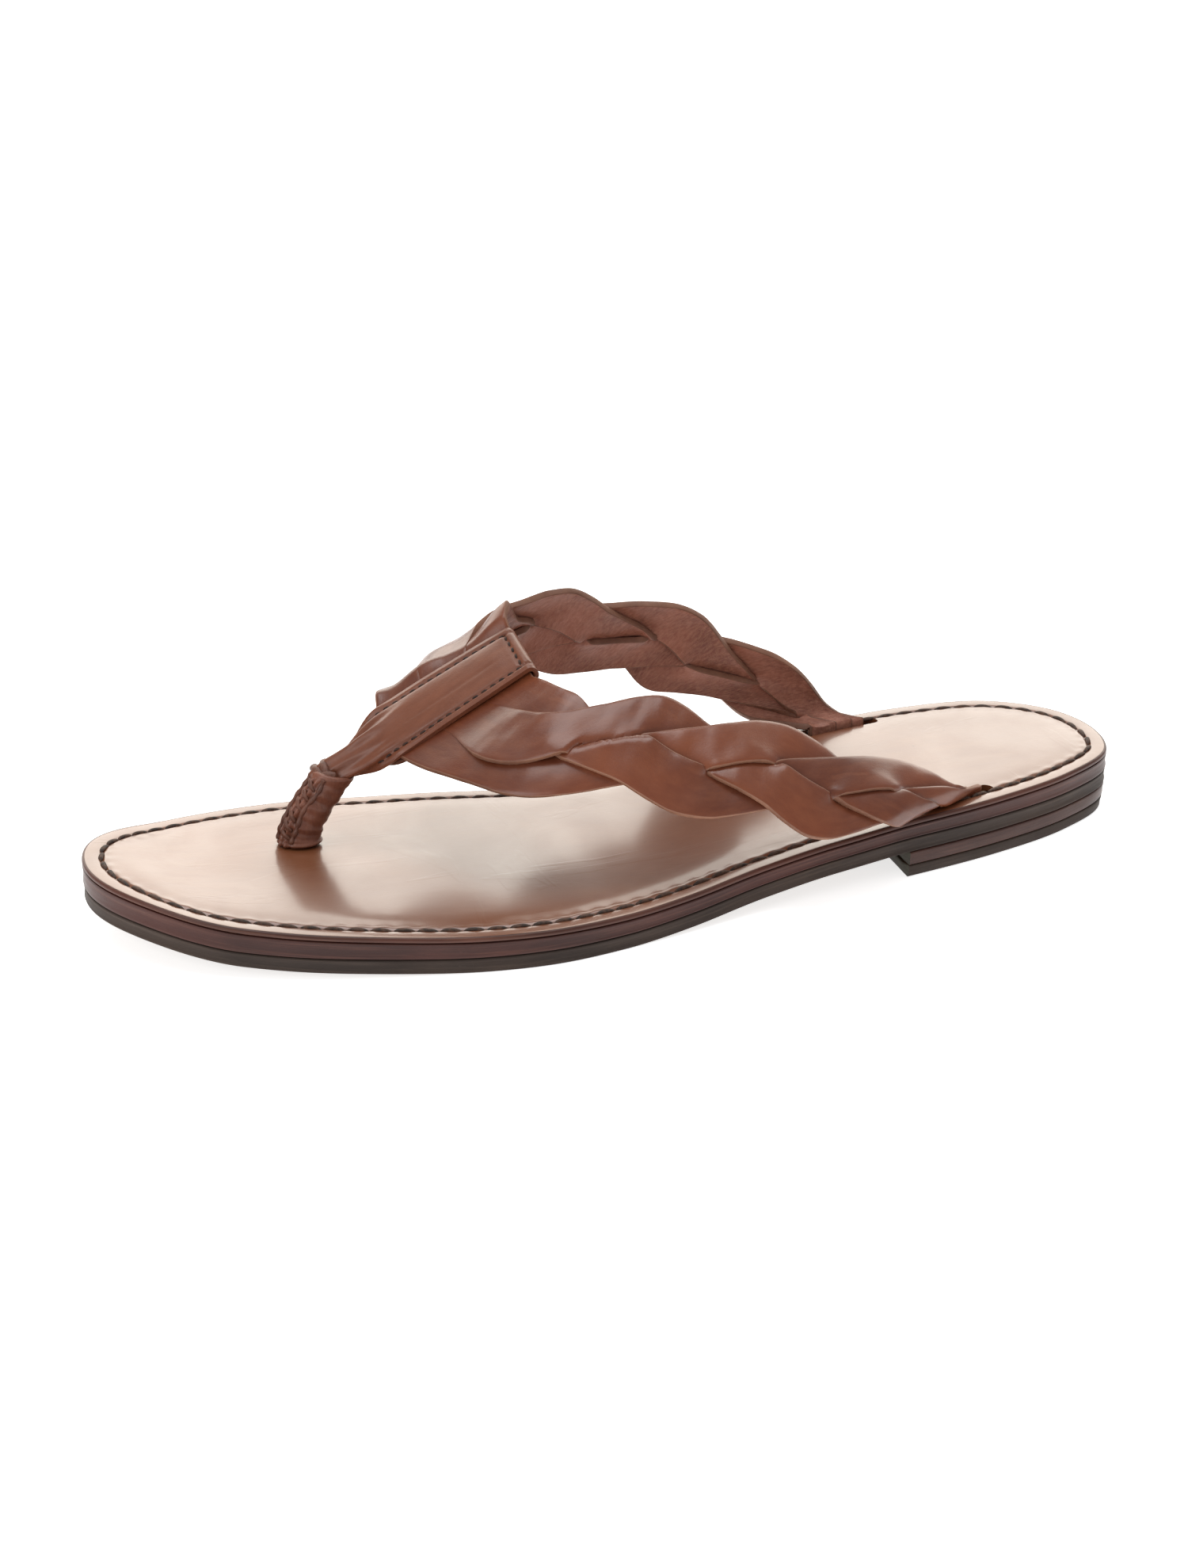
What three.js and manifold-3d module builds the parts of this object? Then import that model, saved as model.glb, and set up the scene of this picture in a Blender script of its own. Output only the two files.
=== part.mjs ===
// A left leather thong sandal: stacked leather sole, two flat braided straps, a toe bar and a toe post.
// Millimetres. +X towards the toe, +Y to the outer (lateral) side, +Z up. The origin is under the
// middle of the sole, on the ground.
import * as THREE from "three";
import { mergeVertices } from "three/addons/utils/BufferGeometryUtils.js";
import Module from "manifold-3d";

const wasm = await Module();
wasm.setup();

// ---------------------------------------------------------------- driving dimensions
const HALF_LENGTH = 131; // the outsole is 262 mm long
const GAP = 0.15; // between two layers of the sole
const CLEARANCE = 0.3; // round a piece that sits in a hole or a pocket

const OUTSOLE_THICKNESS = 3.6;
const SOCK_THICKNESS = 1.3;
const TOP_PIECE_THICKNESS = 3.1;
const HEEL_BREAST_X = -60.5;
const HEEL_INSET = 0.5;

const PAD_INSET = 7.5; // the foam ends inside the seam of the sock
const PAD_THICKNESS = 0.8;
const SHANK = { from: -94, to: 4, y: -4.5, width: 14, thickness: 1.2 };

const SEAM_INSET = 4.6;
const THREAD_RADIUS = 0.5;

const LEATHER = 1.8; // straps and their tails
const STRAND_SHARE = 0.395; // a strand's width over the braid's
const SLITS_FROM = 0.06; // share of a strap's length where its root divides into strands
const BRAIDED_FROM = 0.36; // share where the strands have their full sway
const ROOT_REACH = 4.2; // of a strap's root into the toe bar
const ROOT_SHARES = [0.035, 0.87]; // of the bar's length, where a root's two edges leave it
const ROOT_TAPER = [1.5, 0.7]; // narrowing of a root's two edges per millimetre inside the bar
const TAIL_LENGTH = 9; // of the flat part nailed under the midsole
const TACK_SHARES = [0.27, 0.73]; // across a tail
const TACK_INWARDS = 5.5;
const LINING_END = 0.9; // share of the bar
const SLIVER = 0.03; // details of a strap smaller than this are merged
const BRAID_HEIGHT = 1.25; // how far a strand rises and dips
const BRAID_STRAIGHTNESS = 0.11; // third harmonic: strands run straight from edge to edge

const BAR = {
  throat: new THREE.Vector3(22.6, -10.3, 54),
  end: new THREE.Vector3(59.4, -16.5, 33),
  tilt: [-0.27, -0.44], // fall of the bar to the outer side, at the throat and at the end
  halfWidth: 8.3,
  endHalfWidth: 3.2,
  cover: 1.2,
  lining: 1,
  pocket: 2.4, // between cover and lining, for the roots of the straps
  gatherFrom: 0.72, // share of the length where the bar starts to narrow
};

const POST_WIDTH = 10.6; // front to back
const POST_BREADTH = 7.4; // between the toes
const SLEEVE_WALL = 1.2;
const LACE_RADIUS = 0.7;
const LACE_TURNS = 5;
const LACE_SPAN = [0.9, 0.32]; // shares of the post's length, foot to knot
const LACE_ANGLE = 0.5; // of the seam it whips, from the toe side, in radians
const LACE_SWING = 0.34;
const SLEEVE_SPAN = [0.29, 0.93]; // shares of the post's length
const ANCHOR = { length: 20, half: 5.5, thickness: 1.8, front: 4 };
const ANCHOR_TACK_BACK = 10; // behind the post's foot

const BAR_SEAM_INSET = 1.9;
const BAR_SEAM_SHARES = [0.84, 0.72, 0.56, 0.4, 0.24, 0.1, 0.05]; // nose to throat
const BAR_FOLD = [-0.03, 0.012]; // shares of the bar where the cover turns under
const LINING_START = 0.018;

const TACK = { headRadius: 1.5, radius: 0.7, length: 2.8, head: 0.5 };
const NAIL = { headRadius: 2.1, radius: 1.1, length: 8.2, head: 0.7 };

// ---------------------------------------------------------------- outlines and profiles
// The sole's outline, heel, outer side, toe, inner side.
const OUTLINE = closedCurve([
  [-131, -4.5], [-126.5, 10.3], [-111, 20.4], [-88, 27.6], [-55, 33.2], [-20, 37.5],
  [8, 42.9], [36, 46.1], [67, 40.5], [96, 31], [117, 18.6], [128, 3.9], [131, -10.2],
  [127.6, -22.9], [117, -33.6], [97, -42.3], [69, -46.1], [41, -42.4], [10, -34.8],
  [-20, -30.7], [-56, -33.1], [-88, -35.9], [-113, -32], [-127, -19.9],
]);

// Underside of the outsole: the heel seat is level, the ball rests on the ground, the toe springs.
const bottomZ = profile([
  [-131, 6.9], [-65, 6.9], [-41, 5.7], [-21, 3.6], [0, 1.1],
  [17, 0], [50, 0], [80, 1.2], [104, 2.8], [131, 7],
]);
// Midsole and sock together.
const upperThickness = profile([[-131, 5.2], [-41, 4.6], [49, 5.2], [131, 6.1]]);
const outsoleTop = (x) => bottomZ(x) + OUTSOLE_THICKNESS;
const soleTop = (x) => outsoleTop(x) + GAP + upperThickness(x);
const midsoleTop = (x) => soleTop(x) - SOCK_THICKNESS - GAP;
const padFloor = (x) => midsoleTop(x) - PAD_THICKNESS - GAP;

// The straps' edges, from just outside the toe bar to the slot in the sole: the edge near the throat
// and the far one. Both start on the edge of the toe bar.
const STRAPS = {
  lateral: {
    side: 1,
    upper: [
      [15, 9.5, 52], [-1, 15, 49.8], [-23, 19.3, 43.2],
      [-54, 23.2, 31], [-77, 23.6, 20.6], [-86, 21.9, 17.4],
    ],
    lower: [
      [43, 17, 32.2], [20, 31.4, 32], [-9, 39.2, 26.3],
      [-37, 42.3, 18.6], [-57, 35.5, 17], [-68.5, 24.9, 17.4],
    ],
    firstPeak: 0.385,
    step: 0.14,
    tighten: 0.005,
  },
  medial: {
    side: -1,
    upper: [
      [16, -25.5, 61.6], [0.5, -28.8, 60.8], [-27, -29.5, 52.6],
      [-54, -30.2, 35.5], [-72, -31, 21], [-79, -29.1, 17.4],
    ],
    lower: [
      [37, -37, 36], [14.5, -42.4, 36.6], [-11, -42, 31.2],
      [-32, -39.4, 24], [-51, -33, 18], [-61, -27.1, 17.4],
    ],
    firstPeak: 0.32,
    step: 0.133,
    tighten: 0.0015,
  },
};
const STATIONS = [0, 0.16, 0.36, 0.58, 0.8, 0.94, 1];

// Middle line of the toe post, from the end of the bar down through the footbed.
const POST_LINE = new THREE.CatmullRomCurve3([
  new THREE.Vector3(60.5, -16.7, 32.3),
  new THREE.Vector3(66.5, -17.3, 28.8),
  new THREE.Vector3(71, -17.5, 24),
  new THREE.Vector3(75.4, -17.6, 16.6),
  new THREE.Vector3(77, -17.6, 9.8),
]);

const NAIL_PLACES = [[-121, -6], [-112, 8.5], [-112, -21], [-96, 15], [-96, -25]];

// ---------------------------------------------------------------- helpers
function closedCurve(points) {
  const curve = new THREE.CatmullRomCurve3(points.map(([x, y]) => new THREE.Vector3(x, y, 0)), true);
  return curve.getPoints(480).slice(0, -1);
}

// A smooth function of x through the given [x, value] pairs, without overshoot.
function profile(pairs) {
  const slope = pairs.map((p, i) => {
    if (i === 0 || i === pairs.length - 1) return 0;
    const before = (p[1] - pairs[i - 1][1]) / (p[0] - pairs[i - 1][0]);
    const after = (pairs[i + 1][1] - p[1]) / (pairs[i + 1][0] - p[0]);
    return before * after <= 0 ? 0 : (2 * before * after) / (before + after);
  });
  return (x) => {
    const last = pairs.length - 2;
    let i = 0;
    while (i < last && x > pairs[i + 1][0]) i++;
    const [x0, y0] = pairs[i];
    const [x1, y1] = pairs[i + 1];
    const t = THREE.MathUtils.clamp((x - x0) / (x1 - x0), 0, 1);
    const h = x1 - x0;
    return (
      y0 * (1 - t) ** 2 * (1 + 2 * t) +
      slope[i] * h * t * (1 - t) ** 2 +
      y1 * t ** 2 * (3 - 2 * t) -
      slope[i + 1] * h * t ** 2 * (1 - t)
    );
  };
}

// The outline moved inwards.
function insetOutline(distance) {
  return OUTLINE.map((p, i) => {
    const before = OUTLINE[(i + OUTLINE.length - 1) % OUTLINE.length];
    const after = OUTLINE[(i + 1) % OUTLINE.length];
    const along = after.clone().sub(before).normalize();
    return new THREE.Vector3(p.x + along.y * -distance * turn, p.y + along.x * distance * turn, 0);
  });
}
const turn = signedArea(OUTLINE) > 0 ? 1 : -1;

function signedArea(points) {
  return points.reduce((sum, p, i) => {
    const q = points[(i + 1) % points.length];
    return sum + (p.x * q.y - q.x * p.y) / 2;
  }, 0);
}

// Lowest and highest y of a closed outline at x.
function spanAt(points, x) {
  const hits = [];
  points.forEach((p, i) => {
    const q = points[(i + 1) % points.length];
    if (p.x <= x !== q.x <= x) hits.push(p.y + ((x - p.x) / (q.x - p.x)) * (q.y - p.y));
  });
  return [Math.min(...hits), Math.max(...hits)];
}

// A closed solid through rings of equal length, with flat fans over both ends.
function loft(rings) {
  const count = rings[0].length;
  const positions = rings.flat().flatMap((p) => [p.x, p.y, p.z]);
  const indices = [];
  for (let r = 0; r + 1 < rings.length; r++) {
    for (let i = 0; i < count; i++) {
      const a = r * count + i;
      const b = r * count + ((i + 1) % count);
      indices.push(a, b, b + count, a, b + count, a + count);
    }
  }
  const tail = (rings.length - 1) * count;
  for (let i = 1; i + 1 < count; i++) {
    indices.push(0, i + 1, i);
    indices.push(tail, tail + i, tail + i + 1);
  }
  const geometry = new THREE.BufferGeometry();
  geometry.setAttribute("position", new THREE.Float32BufferAttribute(positions, 3));
  geometry.setIndex(indices);
  return solid(geometry);
}

// A manifold solid of a closed geometry, turned right side out if its rings ran the other way.
function solid(geometry) {
  const bare = geometry.clone();
  bare.deleteAttribute("normal");
  bare.deleteAttribute("uv");
  const merged = mergeVertices(bare, 1e-4);
  const triVerts = new Uint32Array(merged.index.array);
  const vertProperties = new Float32Array(merged.attributes.position.array);
  if (meshVolume(vertProperties, triVerts) < 0) {
    for (let i = 0; i < triVerts.length; i += 3) {
      [triVerts[i + 1], triVerts[i + 2]] = [triVerts[i + 2], triVerts[i + 1]];
    }
  }
  return new wasm.Manifold(new wasm.Mesh({ numProp: 3, vertProperties, triVerts }));
}

function meshVolume(v, t) {
  const a = new THREE.Vector3();
  const b = new THREE.Vector3();
  const c = new THREE.Vector3();
  let sum = 0;
  for (let i = 0; i < t.length; i += 3) {
    a.fromArray(v, t[i] * 3);
    b.fromArray(v, t[i + 1] * 3);
    c.fromArray(v, t[i + 2] * 3);
    sum += a.dot(b.cross(c)) / 6;
  }
  return sum;
}

const sandal = new THREE.Group();
sandal.name = "thong_sandal";

function add(name, made, colour, roughness, metalness = 0) {
  const mesh = made.getMesh();
  const geometry = new THREE.BufferGeometry();
  geometry.setAttribute("position", new THREE.Float32BufferAttribute(mesh.vertProperties, 3));
  geometry.setIndex(new THREE.BufferAttribute(new Uint32Array(mesh.triVerts), 1));
  geometry.computeVertexNormals();
  const material = new THREE.MeshStandardMaterial({ color: colour, roughness, metalness });
  const piece = new THREE.Mesh(geometry, material);
  piece.name = name;
  sandal.add(piece);
}

// ---------------------------------------------------------------- sole
// A layer of the sole between two heights, from one x to another, inside the outline by inset.
function slab({ inset = 0, from = -HALF_LENGTH, to = HALF_LENGTH, low, high, steps = 34, lean = 0 }) {
  const outline = insetOutline(inset);
  const leaned = insetOutline(inset + lean);
  const ends = [Math.max(from, -HALF_LENGTH + inset + 0.15), Math.min(to, HALF_LENGTH - inset - 0.15)];
  const rings = [];
  for (let i = 0; i <= steps; i++) {
    const share = (1 - Math.cos((Math.PI * i) / steps)) / 2;
    const x = THREE.MathUtils.lerp(ends[0], ends[1], share);
    const [in0, out0] = spanAt(outline, x);
    const leanedX = THREE.MathUtils.clamp(x, -HALF_LENGTH + inset + lean + 0.1, to);
    const [in1, out1] = lean ? spanAt(leaned, leanedX) : [in0, out0];
    rings.push([
      new THREE.Vector3(x, in1, low(x)),
      new THREE.Vector3(x, out1, low(x)),
      new THREE.Vector3(x, out0, high(x)),
      new THREE.Vector3(x, in0, high(x)),
    ]);
  }
  return loft(rings);
}

// A strip bent with the sole, used for the shank and for the channel that it lies in.
function strip(grow, low, high) {
  const rings = [];
  const from = SHANK.from - grow;
  const to = SHANK.to + grow;
  const half = SHANK.width / 2 + grow;
  for (let i = 0; i <= 12; i++) {
    const x = THREE.MathUtils.lerp(from, to, i / 12);
    rings.push([
      new THREE.Vector3(x, SHANK.y - half, low(x)),
      new THREE.Vector3(x, SHANK.y + half, low(x)),
      new THREE.Vector3(x, SHANK.y + half, high(x)),
      new THREE.Vector3(x, SHANK.y - half, high(x)),
    ]);
  }
  return loft(rings);
}

// A headed pin, head up, with its head's top at z = 0.
function pin({ headRadius, radius, length, head }, grow = 0) {
  const points = [
    new THREE.Vector2(0, -length - grow),
    new THREE.Vector2(radius + grow, -length - grow),
    new THREE.Vector2(radius + grow, -head - grow),
    new THREE.Vector2(headRadius + grow, -head - grow),
    new THREE.Vector2(headRadius + grow, grow),
    new THREE.Vector2(0, grow),
  ];
  const geometry = new THREE.LatheGeometry(points, 10);
  geometry.rotateX(Math.PI / 2);
  return geometry;
}

const nailAt = ([x, y], grow) => solid(pin(NAIL, grow).translate(x, y, padFloor(x) - 0.1));

// ---------------------------------------------------------------- straps
const edgeCurves = (strap) => [strap.upper, strap.lower].map((points) => splineOf(points));

// A natural cubic spline through the points, with a chosen parameter at each.
function splineOf(points) {
  const n = points.length;
  const h = STATIONS.slice(1).map((s, i) => s - STATIONS[i]);
  const bend = [0, 1, 2].map((axis) => {
    const diagonal = [1];
    const upper = [0];
    const right = [0];
    for (let i = 1; i < n - 1; i++) {
      const change =
        (points[i + 1][axis] - points[i][axis]) / h[i] - (points[i][axis] - points[i - 1][axis]) / h[i - 1];
      const pivot = 2 * (h[i] + h[i - 1]) - h[i - 1] * upper[i - 1];
      diagonal.push(pivot);
      upper.push(h[i] / pivot);
      right.push((6 * change - h[i - 1] * right[i - 1]) / pivot);
    }
    const second = new Array(n).fill(0);
    for (let i = n - 2; i > 0; i--) second[i] = right[i] - upper[i] * second[i + 1];
    return second;
  });
  return (s) => {
    let i = 0;
    while (i < n - 2 && s > STATIONS[i + 1]) i++;
    const a = (STATIONS[i + 1] - s) / h[i];
    const b = 1 - a;
    return new THREE.Vector3(
      ...[0, 1, 2].map(
        (k) =>
          a * points[i][k] +
          b * points[i + 1][k] +
          (((a ** 3 - a) * bend[k][i] + (b ** 3 - b) * bend[k][i + 1]) * h[i] ** 2) / 6,
      ),
    );
  };
}

// Frame of a strap at s: middle, unit vector across towards the throat side, outward normal, width.
function strapFrame(strap, s) {
  const [upper, lower] = strap.edges;
  const top = upper(s);
  const low = lower(s);
  const step = 0.004;
  const ahead = upper(Math.min(s + step, 1)).add(lower(Math.min(s + step, 1)));
  const behind = upper(Math.max(s - step, 0)).add(lower(Math.max(s - step, 0)));
  const along = ahead.sub(behind).normalize();
  const width = top.distanceTo(low);
  const across = top.clone().sub(low).normalize();
  const normal = along.cross(across).multiplyScalar(strap.side).normalize();
  return { middle: top.add(low).multiplyScalar(0.5), across, normal, width };
}

// Phase of the braid at s. Every sixth of a turn one strand is at an edge: the middle strand of the
// root is first at the throat side at firstPeak, and the sixths get shorter towards the tail.
function braidPhase({ firstPeak, step, tighten }, s) {
  const sixths = (step - Math.sqrt(step ** 2 - 4 * tighten * (s - firstPeak))) / (2 * tighten);
  return Math.PI / 2 + (sixths * Math.PI) / 3;
}

// Offset across, height and width of strand k (0 is the middle one at the root, 1 the one on the
// throat side, 2 the other). It leaves the root as a third of it.
function strandPath(strap, k, s, width) {
  const phase = braidPhase(strap, s) + (k * 2 * Math.PI) / 3;
  const settled = THREE.MathUtils.smoothstep(s, SLITS_FROM, BRAIDED_FROM);
  const tail = THREE.MathUtils.smoothstep(s, 0.9, 1);
  const reach = ((1 - STRAND_SHARE) / 2 / (1 + BRAID_STRAIGHTNESS)) * width;
  const wave = Math.sin(phase) - BRAID_STRAIGHTNESS * Math.sin(3 * phase);
  const rootOffset = [0, 1, -1][k] * (width / 3);
  return {
    offset: THREE.MathUtils.lerp(rootOffset, reach * wave, settled),
    height: BRAID_HEIGHT * Math.sin(2 * phase) * settled * (1 - tail),
    strandWidth: THREE.MathUtils.lerp(width / 3 + 0.1, STRAND_SHARE * width, settled),
  };
}

// Rectangle of leather across a frame, between two offsets.
function leatherRing({ middle, across, normal }, from, to, height, thickness = LEATHER) {
  const at = (offset, h) => middle.clone().addScaledVector(across, offset).addScaledVector(normal, h);
  const half = thickness / 2;
  return [at(from, height - half), at(to, height - half), at(to, height + half), at(from, height + half)];
}

function strandSolid(strap, k) {
  const steps = 30;
  const rings = [];
  for (let i = 0; i <= steps; i++) {
    const s = THREE.MathUtils.lerp(SLITS_FROM, 1, i / steps);
    const frame = strapFrame(strap, s);
    const { offset, height, strandWidth } = strandPath(strap, k, s, frame.width);
    const half = strandWidth / 2;
    rings.push(leatherRing(frame, offset - half, offset + half, height));
  }
  return loft(rings);
}

// The undivided root, from under the toe bar to where the slits begin.
function rootSolid(strap) {
  const rings = [];
  const start = strapFrame(strap, 0);
  const half = start.width / 2;
  for (const reach of [ROOT_REACH, 0]) {
    const middle = start.middle.clone().addScaledVector(barAcross(0.5), -strap.side * reach);
    const frame = { middle, across: start.across, normal: barNormal(0.5) };
    rings.push(leatherRing(frame, -half + reach * ROOT_TAPER[0], half - reach * ROOT_TAPER[1], 0));
  }
  for (let i = 1; i <= 3; i++) {
    const s = (i * 2 * SLITS_FROM) / 3; // past the start of the slits, so that root and strands join
    const frame = strapFrame(strap, s);
    rings.push(leatherRing(frame, -frame.width / 2, frame.width / 2, 0));
  }
  return loft(rings);
}

// The tail: down through the slot, then flat and inwards in a pocket of the outsole.
function tailSolid(strap, grow = 0) {
  const [upper, lower] = strap.edges;
  const a = upper(1);
  const b = lower(1);
  const along = b.clone().sub(a).setZ(0).normalize();
  const inward = new THREE.Vector3(-along.y, along.x, 0);
  if (inward.y * strap.side > 0) inward.negate();
  const middle = a.clone().add(b).multiplyScalar(0.5);
  const half = a.distanceTo(b) / 2 + grow;
  const thick = LEATHER + 2 * grow;
  const level = outsoleTop(middle.x) - LEATHER / 2 - CLEARANCE;
  const up = new THREE.Vector3(0, 0, 1);
  const diagonal = inward.clone().add(up).normalize();
  const place = (inwards, z) => middle.clone().setZ(z).addScaledVector(inward, inwards);
  const ring = (at, normal, scale = 1) =>
    leatherRing({ middle: at, across: along, normal }, -half, half, 0, thick * scale);
  return loft([
    ring(place(0, strap.tailTop + (grow ? 6 : 0)), inward),
    ring(place(0, level + 1.4), inward),
    ring(place(0.3, level), diagonal, 1.3),
    ring(place(1.6, level), up),
    ring(place(TAIL_LENGTH + grow, level), up),
  ]);
}

function tackPlaces(strap) {
  const [upper, lower] = strap.edges;
  const a = upper(1);
  const b = lower(1);
  const along = b.clone().sub(a).setZ(0).normalize();
  const inward = new THREE.Vector3(-along.y, along.x, 0);
  if (inward.y * strap.side > 0) inward.negate();
  return TACK_SHARES.map((share) => a.clone().lerp(b, share).addScaledVector(inward, TACK_INWARDS));
}

// ---------------------------------------------------------------- toe bar and post
const barAlong = BAR.end.clone().sub(BAR.throat).normalize();
const barAcross = (share) => new THREE.Vector3(0, 1, THREE.MathUtils.lerp(...BAR.tilt, share)).normalize();
const barNormal = (share) => barAlong.clone().cross(barAcross(share)).normalize();

// Half width of the bar at a share of its length: parallel, then gathered towards the post.
function barHalfWidth(share) {
  const gather = THREE.MathUtils.smoothstep(share, BAR.gatherFrom, 1);
  return THREE.MathUtils.lerp(BAR.halfWidth, BAR.endHalfWidth, gather);
}

function barPoint(share, sideways, height) {
  return BAR.throat
    .clone()
    .lerp(BAR.end, share)
    .addScaledVector(barAcross(share), sideways)
    .addScaledVector(barNormal(share), height);
}

// A plate of the bar between two heights over its middle plane.
function barPlate(from, to, low, high, grow = 0) {
  const rings = [];
  for (let i = 0; i <= 10; i++) {
    const share = THREE.MathUtils.lerp(from, to, i / 10);
    const half = barHalfWidth(share) + grow;
    rings.push([
      barPoint(share, -half, low),
      barPoint(share, half, low),
      barPoint(share, half, high),
      barPoint(share, -half, high),
    ]);
  }
  return loft(rings);
}

function toeBarCover() {
  const top = barPlate(0, 1, BAR.pocket / 2, BAR.pocket / 2 + BAR.cover);
  const fold = barPlate(...BAR_FOLD, -BAR.pocket / 2 - BAR.lining, BAR.pocket / 2 + BAR.cover);
  return top.add(fold);
}

const toeBarLining = () =>
  barPlate(LINING_START, LINING_END, -BAR.pocket / 2 - BAR.lining, -BAR.pocket / 2);

// An oval tube section along the post.
function postSolid(from, to, grow, steps, sides = 12) {
  const rings = [];
  for (let i = 0; i <= steps; i++) {
    const share = THREE.MathUtils.lerp(from, to, i / steps);
    const at = POST_LINE.getPointAt(THREE.MathUtils.clamp(share, 0, 1));
    const along = POST_LINE.getTangentAt(THREE.MathUtils.clamp(share, 0, 1));
    if (share > 1) at.addScaledVector(along, (share - 1) * POST_LINE.getLength());
    if (share < 0) at.addScaledVector(along, share * POST_LINE.getLength());
    const sideways = new THREE.Vector3(0, 1, 0);
    const forward = sideways.clone().cross(along).normalize();
    const ring = [];
    for (let j = 0; j < sides; j++) {
      const angle = (j / sides) * 2 * Math.PI;
      ring.push(
        at
          .clone()
          .addScaledVector(forward, Math.cos(angle) * (POST_WIDTH / 2 + grow))
          .addScaledVector(sideways, Math.sin(angle) * (POST_BREADTH / 2 + grow)),
      );
    }
    rings.push(ring);
  }
  return loft(rings);
}

const CORE_GROW = -SLEEVE_WALL - CLEARANCE;

// The strip inside the sleeve, with its foot turned back under the midsole.
function postCore(grow = 0) {
  const shaft = postSolid(0.1, 1, CORE_GROW + grow, 8);
  const base = POST_LINE.getPointAt(1);
  const level = outsoleTop(base.x) - ANCHOR.thickness / 2 - CLEARANCE;
  const halfX = POST_WIDTH / 2 + CORE_GROW + grow;
  const halfY = POST_BREADTH / 2 + CORE_GROW + grow;
  const neck = new THREE.BoxGeometry(2 * halfX * 0.8, 2 * halfY * 0.8, base.z + 1 - level);
  neck.translate(base.x, base.y, (base.z + 1 + level) / 2);
  const { length, half, thickness } = ANCHOR;
  const foot = new THREE.BoxGeometry(length + 2 * grow, 2 * (half + grow), thickness + 2 * grow);
  foot.translate(base.x - ANCHOR.length / 2 + ANCHOR.front, base.y, level);
  return shaft.add(solid(neck)).add(solid(foot));
}

// The thong that whips the seam on the front of the post, ending in a knot at the top.
function laceSolid() {
  const points = [];
  const steps = LACE_TURNS * 4;
  for (let i = 0; i <= steps; i++) {
    const share = THREE.MathUtils.lerp(...LACE_SPAN, i / steps);
    const at = POST_LINE.getPointAt(share);
    const along = POST_LINE.getTangentAt(share);
    const sideways = new THREE.Vector3(0, 1, 0);
    const forward = sideways.clone().cross(along).normalize();
    if (forward.x < 0) forward.negate();
    const angle = LACE_ANGLE + LACE_SWING * Math.sin((i / 4) * 2 * Math.PI);
    const reach = LACE_RADIUS + CLEARANCE;
    points.push(
      at
        .clone()
        .addScaledVector(forward, Math.cos(angle) * (POST_WIDTH / 2 + reach))
        .addScaledVector(sideways, Math.sin(angle) * (POST_BREADTH / 2 + reach)),
    );
  }
  return tube(points, LACE_RADIUS, 5, steps * 2);
}

// A round tube through the points, with flat ends.
function tube(points, radius, sides, steps) {
  const section = new THREE.Shape();
  for (let i = 0; i < sides; i++) {
    const angle = (i / sides) * 2 * Math.PI;
    const move = i ? "lineTo" : "moveTo";
    section[move](Math.cos(angle) * radius, Math.sin(angle) * radius);
  }
  section.closePath();
  const path = new THREE.CatmullRomCurve3(points);
  return solid(new THREE.ExtrudeGeometry(section, { steps, bevelEnabled: false, extrudePath: path }));
}

// The seam of the sock: one thread all round, just clear of the leather.
function sockSeam() {
  const loop = insetOutline(SEAM_INSET);
  const points = [];
  for (let i = 0; i <= loop.length - 8; i += 8) {
    const p = loop[i];
    points.push(new THREE.Vector3(p.x, p.y, soleTop(p.x) + THREAD_RADIUS + 0.1));
  }
  return tube(points, THREAD_RADIUS, 5, 96);
}

// The seam of the toe bar: along one edge, across the throat and back along the other.
function barSeam() {
  const height = BAR.pocket / 2 + BAR.cover + THREAD_RADIUS;
  const points = [];
  for (const side of [1, -1]) {
    const shares = side > 0 ? BAR_SEAM_SHARES : BAR_SEAM_SHARES.toReversed();
    for (const share of shares) {
      points.push(barPoint(share, side * (barHalfWidth(share) - BAR_SEAM_INSET), height));
    }
  }
  return tube(points, THREAD_RADIUS * 0.7, 5, 44);
}

// ---------------------------------------------------------------- assembly
for (const strap of Object.values(STRAPS)) {
  for (const [edge, share] of [[strap.upper, ROOT_SHARES[0]], [strap.lower, ROOT_SHARES[1]]]) {
    edge.unshift(barPoint(share, strap.side * (barHalfWidth(share) + 0.4), 0).toArray());
  }
  strap.edges = edgeCurves(strap);
  strap.tailTop = (strap.edges[0](1).z + strap.edges[1](1).z) / 2 + 0.6;
}

const nailHoles = NAIL_PLACES.map((place) => nailAt(place, CLEARANCE));
const pockets = Object.values(STRAPS).map((strap) => tailSolid(strap, CLEARANCE));
const postHole = postCore(CLEARANCE);
const cut = (body, tools) => tools.reduce((left, tool) => left.subtract(tool), body);

// The largest body alone: small voids between crossing strands are filled.
const outerSkin = (body) => body.decompose().reduce((a, b) => (b.volume() > a.volume() ? b : a));

const tackAt = (place, grow) => {
  const head = outsoleTop(place.x) - CLEARANCE / 2;
  return solid(pin(TACK, grow).translate(place.x, place.y, head));
};
const tacks = Object.entries(STRAPS).flatMap(([name, strap]) =>
  tackPlaces(strap).map((place, i) => ({ name: `${name}_tail_tack_${i + 1}`, place })),
);
const tackHoles = tacks.map(({ place }) => tackAt(place, CLEARANCE / 2));
const postBase = POST_LINE.getPointAt(1);
const anchorTack = new THREE.Vector3(postBase.x - ANCHOR_TACK_BACK, postBase.y, 0);
const anchorHole = tackAt(anchorTack, CLEARANCE / 2);

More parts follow.
